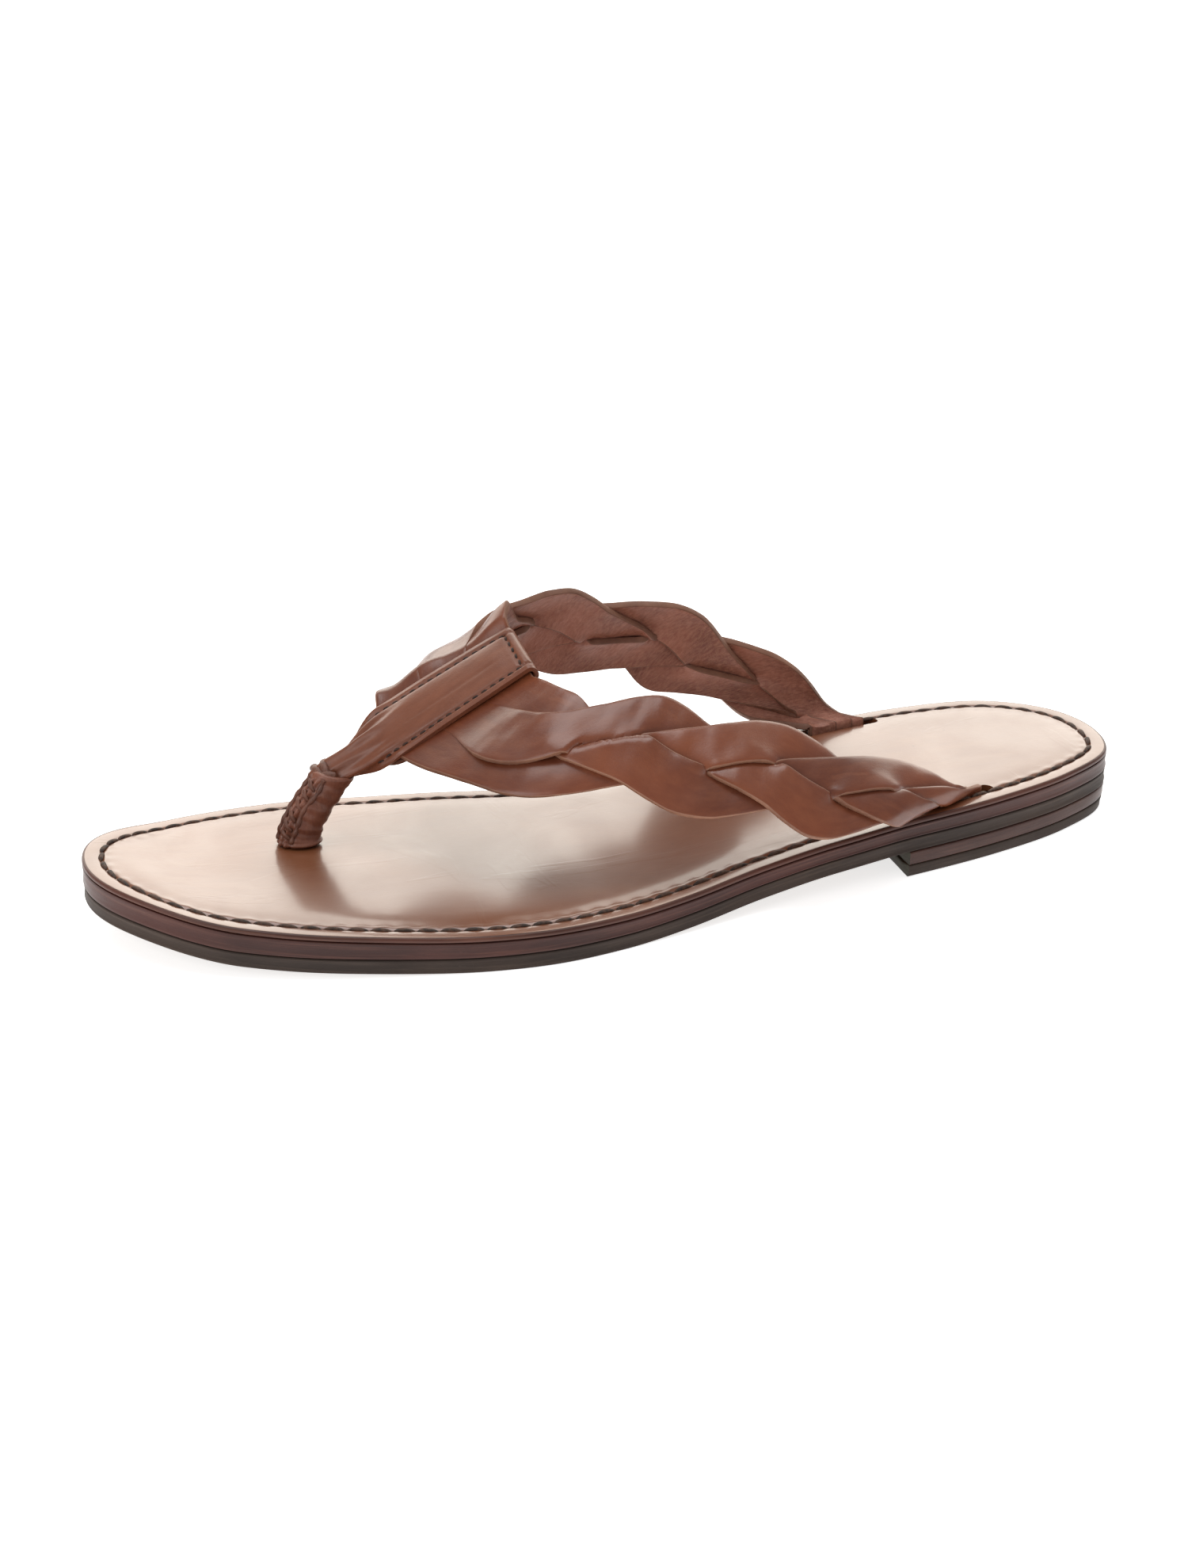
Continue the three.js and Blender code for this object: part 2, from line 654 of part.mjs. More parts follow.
add(
  "outsole",
  cut(slab({ low: bottomZ, high: outsoleTop }), [
    ...nailHoles, ...pockets, postHole, ...tackHoles, anchorHole,
  ]),
  0x463f38,
  0.6,
);
const shankTop = (x) => outsoleTop(x) + GAP + SHANK.thickness;
const shankChannel = strip(CLEARANCE, (x) => outsoleTop(x) - 1, (x) => shankTop(x) + CLEARANCE);
const padRecess = slab({ inset: PAD_INSET - CLEARANCE, low: padFloor, high: (x) => midsoleTop(x) + 1 });
add(
  "midsole",
  cut(slab({ low: (x) => outsoleTop(x) + GAP, high: midsoleTop }), [
    shankChannel, padRecess, ...nailHoles, ...pockets, postHole, ...tackHoles, anchorHole,
  ]),
  0x4a2620,
  0.4,
);
add("shank", strip(0, (x) => outsoleTop(x) + GAP, shankTop), 0x8a8d90, 0.4, 0.9);
add(
  "cushion_pad",
  cut(slab({ inset: PAD_INSET, low: (x) => padFloor(x) + GAP / 2, high: (x) => midsoleTop(x) - GAP / 2 }), [
    ...pockets, postHole,
  ]),
  0xc9b28a,
  0.9,
);
const sockSheet = slab({ low: (x) => midsoleTop(x) + GAP, high: soleTop });
add("sock", cut(sockSheet, [...pockets, postHole]), 0x8d5636, 0.25);
add("sock_stitching", sockSeam(), 0x4c3a2c, 0.8);
add(
  "heel_lift",
  cut(
    slab({
      inset: HEEL_INSET * 0.6,
      to: HEEL_BREAST_X,
      low: () => TOP_PIECE_THICKNESS + GAP,
      high: (x) => bottomZ(x) - GAP,
      lean: HEEL_INSET * 0.4,
      steps: 18,
    }),
    nailHoles,
  ),
  0x4a2a22,
  0.4,
);
add(
  "heel_top_piece",
  slab({
    inset: HEEL_INSET,
    to: HEEL_BREAST_X,
    low: () => 0,
    high: () => TOP_PIECE_THICKNESS,
    lean: HEEL_INSET,
    steps: 18,
  }),
  0x3a3632,
  0.7,
);
NAIL_PLACES.forEach((place, i) => add(`heel_nail_${i + 1}`, nailAt(place, 0), 0x9a9a98, 0.35, 0.9));

const footbedSpace = slab({ low: () => -1, high: (x) => soleTop(x) + 2 * THREAD_RADIUS + CLEARANCE });
// The roots are skived to the thickness of the pocket in the toe bar.
const skive = [-1, 1].map((side) => {
  const heights = [side * (BAR.pocket / 2 - GAP), side * (BAR.pocket / 2 + 4)].sort((a, b) => a - b);
  return barPlate(-0.04, 1.04, ...heights, 0.5);
});
for (const [name, strap] of Object.entries(STRAPS)) {
  const braid = [0, 1, 2].reduce((left, k) => left.add(strandSolid(strap, k)), rootSolid(strap));
  const whole = braid.subtract(footbedSpace).add(tailSolid(strap));
  const made = cut(whole, [...tackHoles, ...skive]).simplify(SLIVER);
  add(`${name}_strap`, outerSkin(made), 0x7d4326, 0.35);
}
for (const { name, place } of tacks) add(name, tackAt(place, 0), 0x9a9a98, 0.35, 0.9);

add("toe_bar", toeBarCover(), 0x9a552c, 0.45);
add("toe_bar_lining", toeBarLining(), 0x5c3523, 0.7);
add("toe_bar_stitching", barSeam(), 0x3c2a20, 0.8);
add("toe_post_core", cut(postCore(), [anchorHole]), 0x5a3a28, 0.7);
add("toe_post_anchor_tack", tackAt(anchorTack, 0), 0x9a9a98, 0.35, 0.9);
const sleeve = postSolid(...SLEEVE_SPAN, 0, 10).subtract(postSolid(-0.3, 1.2, -SLEEVE_WALL, 12));
add("toe_post_sleeve", sleeve, 0x6b3a24, 0.5);
add("toe_post_lacing", laceSolid(), 0x6a4530, 0.6);

export default sandal;
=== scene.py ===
"""Looks of a braided leather thong sandal, built round its CAD frame.

Shapes are made in millimetres, in the CAD frame, and become metres when a mesh is made: +X to the
toe, +Y to the outer side, +Z up, ground at z = 0.
"""

import math

import bmesh
import bpy
import numpy as np
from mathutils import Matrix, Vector


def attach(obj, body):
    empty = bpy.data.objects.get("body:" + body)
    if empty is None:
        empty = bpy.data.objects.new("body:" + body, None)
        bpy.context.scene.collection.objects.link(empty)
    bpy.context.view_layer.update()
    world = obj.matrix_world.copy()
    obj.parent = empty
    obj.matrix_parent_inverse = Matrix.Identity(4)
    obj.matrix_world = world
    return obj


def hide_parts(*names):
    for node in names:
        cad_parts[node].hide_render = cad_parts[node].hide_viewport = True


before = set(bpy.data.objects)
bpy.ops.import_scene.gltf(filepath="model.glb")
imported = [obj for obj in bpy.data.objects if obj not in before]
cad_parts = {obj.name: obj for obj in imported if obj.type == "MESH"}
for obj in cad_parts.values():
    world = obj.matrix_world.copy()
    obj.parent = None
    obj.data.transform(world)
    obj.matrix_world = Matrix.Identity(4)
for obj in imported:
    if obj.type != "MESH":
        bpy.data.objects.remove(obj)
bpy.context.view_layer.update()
rng = np.random.default_rng(7)

# ---- dimensions, as in the CAD
OUTLINE = [
    (-131, -4.5), (-126.5, 10.3), (-111, 20.4), (-88, 27.6), (-55, 33.2), (-20, 37.5),
    (8, 42.9), (36, 46.1), (67, 40.5), (96, 31), (117, 18.6), (128, 3.9), (131, -10.2),
    (127.6, -22.9), (117, -33.6), (97, -42.3), (69, -46.1), (41, -42.4), (10, -34.8),
    (-20, -30.7), (-56, -33.1), (-88, -35.9), (-113, -32), (-127, -19.9),
]
TOE_INDEX = 12
OUTSOLE, SOCK, GAP = 3.6, 1.3, 0.15
TOP_PIECE, BREAST_X = 3.1, -60.5
PAD_INSET = 7.5
STITCH_PITCH = 5.3
LEATHER = 1.6
STRAND_SHARE = 0.43
BRAID_REACH = 0.292
BRAID_STRAIGHTNESS = 0.11
STATIONS = np.array([0, 0.16, 0.36, 0.58, 0.8, 0.94, 1])  # of an edge's points, from bar to slot
# upper, lower: the strap's edges behind the bar, to its slot.
# peak: share of the length where the middle strand first reaches an edge, share for each sixth of a
#   full turn of the braid, and how the sixths grow shorter; early: how many sixths the first
#   crossings come before that.
# root: shares of the bar where the two edges leave it; gather: share of the bar behind which they
#   no longer follow its narrowing; root_lift: how far the root bows out.
# drawn: how far the strands are pulled across beside the slits; fuller: extra width of the middle
#   strand there; slit_end: share where the first slit has closed; slits: shares where they begin,
#   throat side and other side; bias: shift of the whole braid to the throat side, share of the width.
STRAPS = {
    "lateral": {
        "side": 1,
        "upper": [(15, 9.5, 52), (-1, 15, 49.8), (-23, 19.3, 43.2), (-54, 23.2, 31),
                  (-77, 23.6, 20.6), (-86, 21.9, 17.4)],
        "lower": [(43, 17, 32.2), (20, 31.4, 32), (-9, 39.2, 26.3), (-37, 42.3, 18.6),
                  (-57, 35.5, 17), (-68.5, 24.9, 17.4)],
        "peak": (0.385, 0.14, 0.005),
        "early": 0.04,
        "root_lift": 0.0,
        "drawn": 1.9,
        "root": (0.005, 0.87),
        "gather": 1.0,
        "fuller": 0.06,
        "slit_end": 0.26,
        "bias": -0.02,
        "slits": (0.06, 0.05),
    },
    "medial": {
        "side": -1,
        "upper": [(16, -25.5, 61.6), (0.5, -28.8, 60.8), (-27, -29.5, 52.6), (-54, -30.2, 35.5),
                  (-72, -31, 21), (-79, -29.1, 17.4)],
        "lower": [(37, -37, 36), (14.5, -42.4, 36.6), (-11, -42, 31.2), (-32, -39.4, 24),
                  (-51, -33, 18), (-61, -27.1, 17.4)],
        "peak": (0.32, 0.133, 0.0015),
        "early": 0.2,
        "root_lift": 3.6,
        "drawn": 0.0,
        "root": (-0.015, 0.87),
        "gather": 0.74,
        "fuller": 0.0,
        "slit_end": 0.2,
        "bias": 0.03,
        "slits": (0.08, 0.06),
    },
}
BAR_MID = (np.array([22.6, -10.3, 54.0]), np.array([59.4, -16.5, 33.0]))
BAR_TILT = (-0.27, -0.44)  # fall of the bar to the outer side, at the throat and at the end
BAR_HALVES, BAR_GATHERS = (8.3, 3.2), 0.72  # half widths, and the share where the bar narrows
NOSE_TILT = 0.26  # how much more the bar's leather falls at its nose
BAR_THROAT, BAR_NOSE = np.array([24.5, -10.1, 56.6]), np.array([69.8, -17.4, 29.7])
POST_AT = np.array([77.0, -17.6])


# ---- curves and meshes
def smooth(x, a, b):
    t = np.clip((np.asarray(x, float) - a) / (b - a), 0, 1)
    return t * t * (3 - 2 * t)


def ridge(x, at, width):
    """A soft ridge of height 1."""
    return np.exp(-(((x - at) / width) ** 2))


def unit(v):
    return v / np.linalg.norm(v, axis=-1, keepdims=True)


def profile(pairs):
    """A smooth function through the pairs, without overshoot."""
    xs, ys = (np.array(c, float) for c in zip(*pairs))
    d = np.diff(ys) / np.diff(xs)
    m = np.zeros(len(xs))
    for i in range(1, len(xs) - 1):
        if d[i - 1] * d[i] > 0:
            m[i] = 2 * d[i - 1] * d[i] / (d[i - 1] + d[i])

    def at(x):
        x = np.clip(x, xs[0], xs[-1])
        i = np.clip(np.searchsorted(xs, x, side="right") - 1, 0, len(xs) - 2)
        h = xs[i + 1] - xs[i]
        t = (x - xs[i]) / h
        low = ys[i] * (1 - t) ** 2 * (1 + 2 * t) + m[i] * h * t * (1 - t) ** 2
        return low + ys[i + 1] * t**2 * (3 - 2 * t) - m[i + 1] * h * t**2 * (1 - t)

    return at


bottom_z = profile([(-131, 6.9), (-65, 6.9), (-41, 5.7), (-21, 3.6), (0, 1.1), (17, 0),
                    (50, 0), (80, 1.2), (104, 2.8), (131, 7)])
upper_thickness = profile([(-131, 5.2), (-41, 4.6), (49, 5.2), (131, 6.1)])


def outsole_top(x):
    return bottom_z(x) + OUTSOLE


def sole_top(x):
    return outsole_top(x) + GAP + upper_thickness(x)


def midsole_top(x):
    return sole_top(x) - SOCK - GAP


def closed_curve(points, per=30):
    """Centripetal Catmull-Rom curve through a closed ring of points."""
    p = np.array(points, float)
    n = len(p)
    t = np.linspace(0, 1, per, endpoint=False)[:, None]
    out = []
    for i in range(n):
        p0, p1, p2, p3 = p[i - 1], p[i], p[(i + 1) % n], p[(i + 2) % n]
        d0, d1, d2 = (np.linalg.norm(b - a) ** 0.5 for a, b in ((p0, p1), (p1, p2), (p2, p3)))
        m1 = ((p1 - p0) / d0 - (p2 - p0) / (d0 + d1) + (p2 - p1) / d1) * d1
        m2 = ((p2 - p1) / d1 - (p3 - p1) / (d1 + d2) + (p3 - p2) / d2) * d1
        out.append(p1 * (1 + 2 * t) * (1 - t) ** 2 + m1 * t * (1 - t) ** 2
                   + p2 * t * t * (3 - 2 * t) - m2 * t * t * (1 - t))
    return np.concatenate(out)


def run_of(line):
    """Length of a line up to each of its points."""
    return np.concatenate([[0], np.cumsum(np.linalg.norm(np.diff(line, axis=0), axis=1))])


def values_at(at, places, values):
    """Rows of values, which are known at some places, at other places."""
    return np.stack([np.interp(at, places, column) for column in values.T], 1)


def spaced(line, count):
    """count points evenly along an open line."""
    run = run_of(line)
    return values_at(np.linspace(0, run[-1], count), run, line)


def spline(points, stations=STATIONS):
    """Natural cubic through the points, as a function of an array of parameters."""
    p, k = np.array(points, float), np.array(stations, float)
    n, h = len(p), np.diff(stations)
    a, r = np.eye(n), np.zeros_like(p)
    for i in range(1, n - 1):
        a[i, i - 1 : i + 2] = h[i - 1], 2 * (h[i - 1] + h[i]), h[i]
        r[i] = 6 * ((p[i + 1] - p[i]) / h[i] - (p[i] - p[i - 1]) / h[i - 1])
    m = np.linalg.solve(a, r)

    def at(s):
        s = np.atleast_1d(np.asarray(s, float))
        i = np.clip(np.searchsorted(k, s, side="right") - 1, 0, n - 2)
        w = h[i][:, None]
        u = ((k[i + 1] - s) / h[i])[:, None]
        v = 1 - u
        return u * p[i] + v * p[i + 1] + ((u**3 - u) * m[i] + (v**3 - v) * m[i + 1]) * w**2 / 6

    return at


def piece(name, verts, faces, looks, face_look=None, uvs=None, sharp=None):
    """A mesh object from millimetres. face_look is the look's index for each face."""
    mesh = bpy.data.meshes.new(name)
    mesh.from_pydata((np.asarray(verts) * 0.001).tolist(), [], [list(map(int, f)) for f in faces])
    for look in looks:
        mesh.materials.append(look.material)
    if face_look is not None:
        mesh.polygons.foreach_set("material_index", np.asarray(face_look, np.int32))
    if uvs is not None:
        layer = mesh.uv_layers.new(name="UVMap")
        layer.data.foreach_set("uv", (np.asarray(uvs, float) * 0.001).ravel())
    mesh.polygons.foreach_set("use_smooth", [True] * len(mesh.polygons))
    mesh.update()
    if sharp:
        mesh.set_sharp_from_angle(angle=math.radians(sharp))
    ob = bpy.data.objects.new(name, mesh)
    bpy.context.scene.collection.objects.link(ob)
    return ob


def grid(rows, capped=True):
    """Points, faces and corner UVs of closed rows of points, with a flat cap at both ends. UVs are
    lengths along a row and across the rows."""
    rows = np.asarray(rows, float)
    r, n = rows.shape[:2]
    mid = rows[r // 2]
    u = run_of(np.concatenate([mid, mid[:1]]))
    v = np.concatenate([[0], np.cumsum(np.linalg.norm(np.diff(rows, axis=0), axis=2).mean(1))])
    i, j = (x.ravel() for x in np.meshgrid(np.arange(r - 1), np.arange(n), indexing="ij"))
    k = (j + 1) % n
    faces = np.stack([i * n + j, i * n + k, (i + 1) * n + k, (i + 1) * n + j], 1).tolist()
    corners = ((j, i), (j + 1, i), (j + 1, i + 1), (j, i + 1))
    uv = np.stack([np.stack([u[a], v[b]], 1) for a, b in corners], 1).reshape(-1, 2).tolist()
    if capped:
        faces += [list(range(n - 1, -1, -1)), list(range((r - 1) * n, r * n))]
        uv += rows[0, ::-1, :2].tolist() + rows[-1, :, :2].tolist()
    return rows.reshape(-1, 3), faces, uv


def joined(parts, shift=0.0):
    """Points, faces and UVs of several capped grids. shift is from one part's UVs to the next's."""
    verts, faces, uvs = [], [], []
    for k, rows in enumerate(parts):
        v, f, uv = grid(rows)
        base = sum(len(x) for x in verts)
        faces += [[q + base for q in one] for one in f]
        uvs += (np.array(uv) + [shift * k, 0]).tolist()
        verts.append(v)
    return np.concatenate(verts), faces, uvs


def outward(ob):
    """Turns the faces of a closed mesh to the outside."""
    bm = bmesh.new()
    bm.from_mesh(ob.data)
    bmesh.ops.remove_doubles(bm, verts=bm.verts, dist=1e-7)
    bmesh.ops.recalc_face_normals(bm, faces=bm.faces)
    bm.to_mesh(ob.data)
    bm.free()
    return ob


def skin(name, rows, looks, face_look=None, capped=True, mapped=True, sharp=None):
    """A mesh object from closed rows of points, facing outwards."""
    verts, faces, uvs = grid(rows, capped)
    return outward(piece(name, verts, faces, looks, face_look, uvs if mapped else None, sharp))


def cut(ob, cutters):
    """Cuts closed meshes out of ob."""
    for cutter in cutters:
        m = ob.modifiers.new("cut", "BOOLEAN")
        m.operation, m.object, m.solver = "DIFFERENCE", cutter, "EXACT"
    bpy.context.view_layer.update()
    dg = bpy.context.evaluated_depsgraph_get()
    mesh = bpy.data.meshes.new_from_object(ob.evaluated_get(dg))
    ob.modifiers.clear()
    ob.data = mesh
    return ob


def tube(points, radius, sides=8, flat=1.0, up=None):
    """Rows of a closed-ended tube. radius is a number or one per point; flat squeezes it along up."""
    p = np.asarray(points, float)
    t = unit(np.gradient(p, axis=0))
    up = np.array([0, 0, 1.0]) if up is None else np.asarray(up, float)
    side = unit(np.cross(t, up))
    top = np.cross(side, t)
    r = np.broadcast_to(radius, len(p))[:, None, None]
    a = np.linspace(0, 2 * math.pi, sides, endpoint=False)[None, :, None]
    return p[:, None] + r * (np.cos(a) * side[:, None] + flat * np.sin(a) * top[:, None])


def many_tubes(name, tubes, look, node):
    verts, faces, uvs = joined(tubes)
    return finished(outward(piece(name, verts, faces, [look], uvs=uvs)), node)


def finished(ob, node):
    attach(ob, "root")
    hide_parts(node)
    return ob


# ---- looks
class Look:
    """A procedural material: a Principled surface with texture nodes in front of it."""

    def __init__(self, name, uv=False, **surface):
        self.material = bpy.data.materials.new(name)
        self.material.use_nodes = True
        self.tree = self.material.node_tree
        self.surface = self.tree.nodes["Principled BSDF"]
        coords = self.tree.nodes.new("ShaderNodeTexCoord")
        self.coords = coords.outputs["UV" if uv else "Object"]
        self.normal = None
        for key, value in surface.items():
            self.set(key.replace("_", " "), value)

    def _to(self, node, socket, value):
        if hasattr(value, "node"):
            self.tree.links.new(value, node.inputs[socket])
        else:
            node.inputs[socket].default_value = value

    def _node(self, kind, inputs, **settings):
        node = self.tree.nodes.new(kind)
        for key, value in settings.items():
            setattr(node, key, value)
        for socket, value in inputs.items():
            self._to(node, socket, value)
        return node

    def set(self, socket, value):
        self._to(self.surface, socket, value)

    def noise(self, scale, stretch=(1, 1, 1), detail=4, rough=0.55, distort=0.0):
        place = self._node("ShaderNodeMapping", {"Vector": self.coords, "Scale": stretch}).outputs[0]
        return self._node("ShaderNodeTexNoise", {"Vector": place, "Scale": scale, "Detail": detail,
                                                 "Roughness": rough, "Distortion": distort}).outputs[0]

    def pores(self, scale):
        inputs = {"Vector": self.coords, "Scale": scale}
        return self._node("ShaderNodeTexVoronoi", inputs, feature="DISTANCE_TO_EDGE").outputs["Distance"]

    def range(self, value, low, high, to_low=0.0, to_high=1.0):
        inputs = dict(enumerate((value, low, high, to_low, to_high)))
        return self._node("ShaderNodeMapRange", inputs, interpolation_type="SMOOTHSTEP").outputs[0]

    def times(self, a, b):
        return self._node("ShaderNodeMath", {0: a, 1: b}, operation="MULTIPLY").outputs[0]

    def mix(self, share, a, b):
        return self._node("ShaderNodeMix", {0: share, 6: a, 7: b}, data_type="RGBA").outputs[2]

    def bump(self, height, depth_mm, strength=1.0):
        """Adds relief to the surface, on top of what it has."""
        node = self._node("ShaderNodeBump", {"Strength": strength, "Distance": depth_mm * 0.001,
                                             "Height": height})
        if self.normal is not None:
            self._to(node, "Normal", self.normal)
        self.normal = node.outputs[0]
        self.set("Normal", self.normal)


def rgb(r, g, b):
    """Display colour, 0 to 255, as a linear one."""
    lin = [c / 255 / 12.92 if c <= 10 else ((c / 255 + 0.055) / 1.055) ** 2.4 for c in (r, g, b)]
    return (*lin, 1)


def leather(name, base, dark, light, rough=0.35, coat=0.3, grain=0.05, mottle=18.0,
            streak=(1, 1, 1), streaks=0.25, creases=0.25, uv=False):
    k = Look(name, uv=uv, Specular_IOR_Level=0.5)
    k.set("Coat Weight", coat)
    k.set("Coat Roughness", 0.22)
    cloud = k.range(k.noise(mottle, detail=5), 0.3, 0.7)
    fine = k.range(k.noise(mottle * 9, streak, detail=6, rough=0.65), 0.32, 0.72)
    colour = k.mix(cloud, dark, base)
    colour = k.mix(k.times(fine, streaks), colour, light)
    mark = k.range(k.noise(mottle * 5, streak, detail=3, distort=0.6), 0.66, 0.74)
    colour = k.mix(k.times(mark, creases), colour, light)
    k.set("Base Color", colour)
    k.set("Roughness", k.range(k.noise(mottle * 3, detail=5), 0.3, 0.7, rough - 0.06, rough + 0.08))
    k.bump(k.pores(1400), grain, 0.5)
    k.bump(k.noise(700, detail=6, rough=0.7), grain * 1.2, 0.6)
    k.bump(k.noise(60, streak, detail=4), 0.25, 0.35)
    return k


STRAP_BASE, STRAP_DARK, STRAP_LIGHT = rgb(121, 62, 36), rgb(92, 44, 26), rgb(152, 92, 60)
strap_outer = leather("strap_leather_polished", STRAP_BASE, STRAP_DARK, STRAP_LIGHT,
                      rough=0.34, coat=0.34, streak=(2.0, 0.7, 1), streaks=0.2, creases=0.16, uv=True)
strap_rim = leather("strap_leather_cut_edge", rgb(140, 96, 74), rgb(102, 66, 50), rgb(172, 126, 100),
                    rough=0.6, coat=0.0, grain=0.12)
# The inside face's colours are set brighter to make up for the shade that face lies in, so they carry
# painted light.
strap_inner = leather("strap_leather_inside", rgb(164, 104, 84), rgb(118, 72, 57), rgb(196, 140, 118),
                      rough=0.52, coat=0.05, grain=0.2, mottle=60, streak=(1, 2.4, 1), streaks=0.5, uv=True)
bar_look = leather("toe_bar_leather", rgb(117, 65, 42), rgb(96, 50, 31), rgb(150, 92, 64),
                   rough=0.4, coat=0.16, grain=0.06, streak=(0.4, 2.2, 1))
bar_inside = leather("toe_bar_lining_leather", rgb(104, 62, 42), rgb(84, 48, 33), rgb(128, 84, 60),
                     rough=0.6, coat=0.0, grain=0.1)
sleeve_look = leather("post_leather", rgb(134, 80, 60), rgb(98, 56, 42), rgb(164, 110, 84),
                      rough=0.4, coat=0.15, grain=0.08, mottle=60, streak=(2.5, 2.5, 0.6), creases=0.4)
lace_look = leather("lace_leather", rgb(112, 68, 50), rgb(80, 46, 34), rgb(146, 96, 72),
                    rough=0.5, coat=0.05, grain=0.1, mottle=120)


def footbed_look():
    k = Look("footbed_leather", Specular_IOR_Level=0.5)
    k.set("IOR", 1.5)
    k.set("Coat Weight", 0.75)
    k.set("Coat Roughness", 0.16)
    k.set("Coat IOR", 1.65)
    cloud = k.range(k.noise(14, detail=5, distort=0.4), 0.3, 0.7)
    colour = k.mix(cloud, rgb(108, 61, 36), rgb(128, 78, 48))
    fibre = k.range(k.noise(160, (0.35, 1.6, 1), detail=6, rough=0.7), 0.35, 0.75)
    colour = k.mix(k.times(fibre, 0.25), colour, rgb(104, 54, 34))
    spots = k.range(k.noise(420, detail=2), 0.74, 0.8)
    colour = k.mix(k.times(spots, 0.5), colour, rgb(70, 38, 26))
    k.set("Base Color", colour)
    k.set("Roughness", k.range(k.noise(38, detail=6, distort=0.5), 0.3, 0.72, 0.3, 0.44))
    k.bump(k.noise(900, detail=6, rough=0.7), 0.05, 0.45)
    k.bump(k.range(k.noise(70, (0.25, 1.0, 1), detail=4, distort=1.2), 0.60, 0.66), 0.06, 0.5)
    k.bump(k.range(k.noise(46, (1.4, 0.4, 1), detail=3, distort=0.8), 0.63, 0.69), 0.08, 0.5)
    k.bump(k.noise(26, (0.6, 1, 1), detail=4), 0.5, 0.22)
    return k


def edge_look(name, base, dark, light, rough, coat):
    k = Look(name, uv=True, Specular_IOR_Level=0.25)
    k.set("Coat Weight", coat)
    k.set("Coat Roughness", 0.25)
    cloud = k.range(k.noise(30, (1, 3, 1), detail=5), 0.3, 0.7)
    colour = k.mix(cloud, dark, base)
    layer = k.range(k.noise(90, (0.25, 9, 1), detail=5, rough=0.7), 0.45, 0.75)
    colour = k.mix(k.times(layer, 0.55), colour, light)
    scuff = k.range(k.noise(55, (1.2, 5, 1), detail=6, rough=0.75, distort=0.5), 0.66, 0.73)
    colour = k.mix(k.times(scuff, 0.5), colour, light)
    k.set("Base Color", colour)
    k.set("Roughness", k.range(k.noise(70, (0.4, 4, 1), detail=5), 0.3, 0.7, rough - 0.08, rough + 0.12))
    k.bump(k.noise(220, (0.15, 6, 1), detail=5, rough=0.7), 0.12, 0.5)
    k.bump(k.noise(900, detail=5), 0.05, 0.5)
    return k


midsole_edge = edge_look("edge_leather", rgb(76, 42, 36), rgb(55, 30, 26), rgb(108, 69, 57), 0.42, 0.08)
sock_edge = edge_look("sock_edge_leather", rgb(88, 52, 42), rgb(66, 38, 31), rgb(126, 84, 66), 0.4, 0.12)
outsole_edge = edge_look("outsole_edge_rubber", rgb(64, 51, 44), rgb(48, 38, 33), rgb(88, 73, 64), 0.6, 0.0)
outsole_under = edge_look("outsole_under_rubber", rgb(92, 72, 54), rgb(70, 55, 42), rgb(120, 98, 76),
                          0.7, 0.0)
lift_edge = edge_look("heel_lift_leather", rgb(76, 48, 40), rgb(54, 32, 28), rgb(106, 70, 58), 0.42, 0.12)
breast_look = edge_look("heel_breast", rgb(72, 68, 58), rgb(52, 48, 42), rgb(92, 88, 76), 0.65, 0.0)
foam_look = edge_look("pad_foam", rgb(214, 196, 160), rgb(196, 178, 144), rgb(226, 212, 182), 0.9, 0.0)


def thread_look(name, base, dark):
    k = Look(name, Specular_IOR_Level=0.4)
    k.set("Base Color", k.mix(k.range(k.noise(900, detail=3), 0.35, 0.65), dark, base))
    k.set("Roughness", 0.65)
    k.bump(k.noise(2600, (1, 0.3, 1), detail=3), 0.12, 0.8)
    return k


sole_thread = thread_look("waxed_thread", rgb(84, 58, 44), rgb(46, 32, 25))
bar_thread = thread_look("bar_thread", rgb(66, 42, 31), rgb(36, 23, 18))


def steel_look():
    k = Look("brushed_steel", Metallic=1.0)
    k.set("Base Color", k.mix(k.noise(300, (0.1, 1, 1)), rgb(120, 122, 124), rgb(168, 170, 172)))
    k.set("Roughness", k.range(k.noise(200, (0.1, 1, 1)), 0.3, 0.7, 0.25, 0.45))
    k.bump(k.noise(900, (0.05, 1, 1)), 0.02, 0.5)
    return k


# ---- sole
SIDE = 330  # points along each side of the sole, heel to toe
dense = closed_curve(OUTLINE)
per = len(dense) // len(OUTLINE)
outer_side = spaced(dense[: TOE_INDEX * per + 1], SIDE + 1)
inner_side = spaced(np.concatenate([dense[TOE_INDEX * per :], dense[:1]])[::-1], SIDE + 1)
loop = np.concatenate([outer_side, inner_side[-2:0:-1]])
along_loop = unit(np.roll(loop, -1, 0) - np.roll(loop, 1, 0))
inwards = np.stack([along_loop[:, 1], -along_loop[:, 0]], 1)
SPINE_SHARE = 0.82  # of the sole's length that its middle line takes
spine = (outer_side + inner_side) / 2 * [SPINE_SHARE, 1]
loop_to_spine = np.concatenate([np.arange(SIDE + 1), np.arange(SIDE - 1, 0, -1)])
loop_run = run_of(loop)


def ring(inset, base, dz=0.0):
    """The outline moved inwards, at a height over a surface of the sole."""
    xy = loop + inwards * np.broadcast_to(inset, len(loop))[:, None]
    return np.column_stack([xy, base(xy[:, 0]) + dz])


def inner_ring(inset, share, base, dz=0.0):
    """Between the outline moved inwards and the middle line of the sole."""
    xy = (loop + inwards * inset) * (1 - share) + spine[loop_to_spine] * share
    return np.column_stack([xy, base(xy[:, 0]) + dz])


def layer(name, rows, looks, look_of_row):
    """A closed layer of the sole, from rows that start and end on the middle line."""
    face_look = [look_of_row(r) for r in range(len(rows) - 1) for _ in rows[0]]
    return skin(name, rows, looks, face_look, capped=False)


FILL = (1.0, 0.8, 0.55, 0.3, 0.12)  # rows of a flat face, as shares of the way to the middle line
FLAT_FROM = 4  # behind a layer's edge


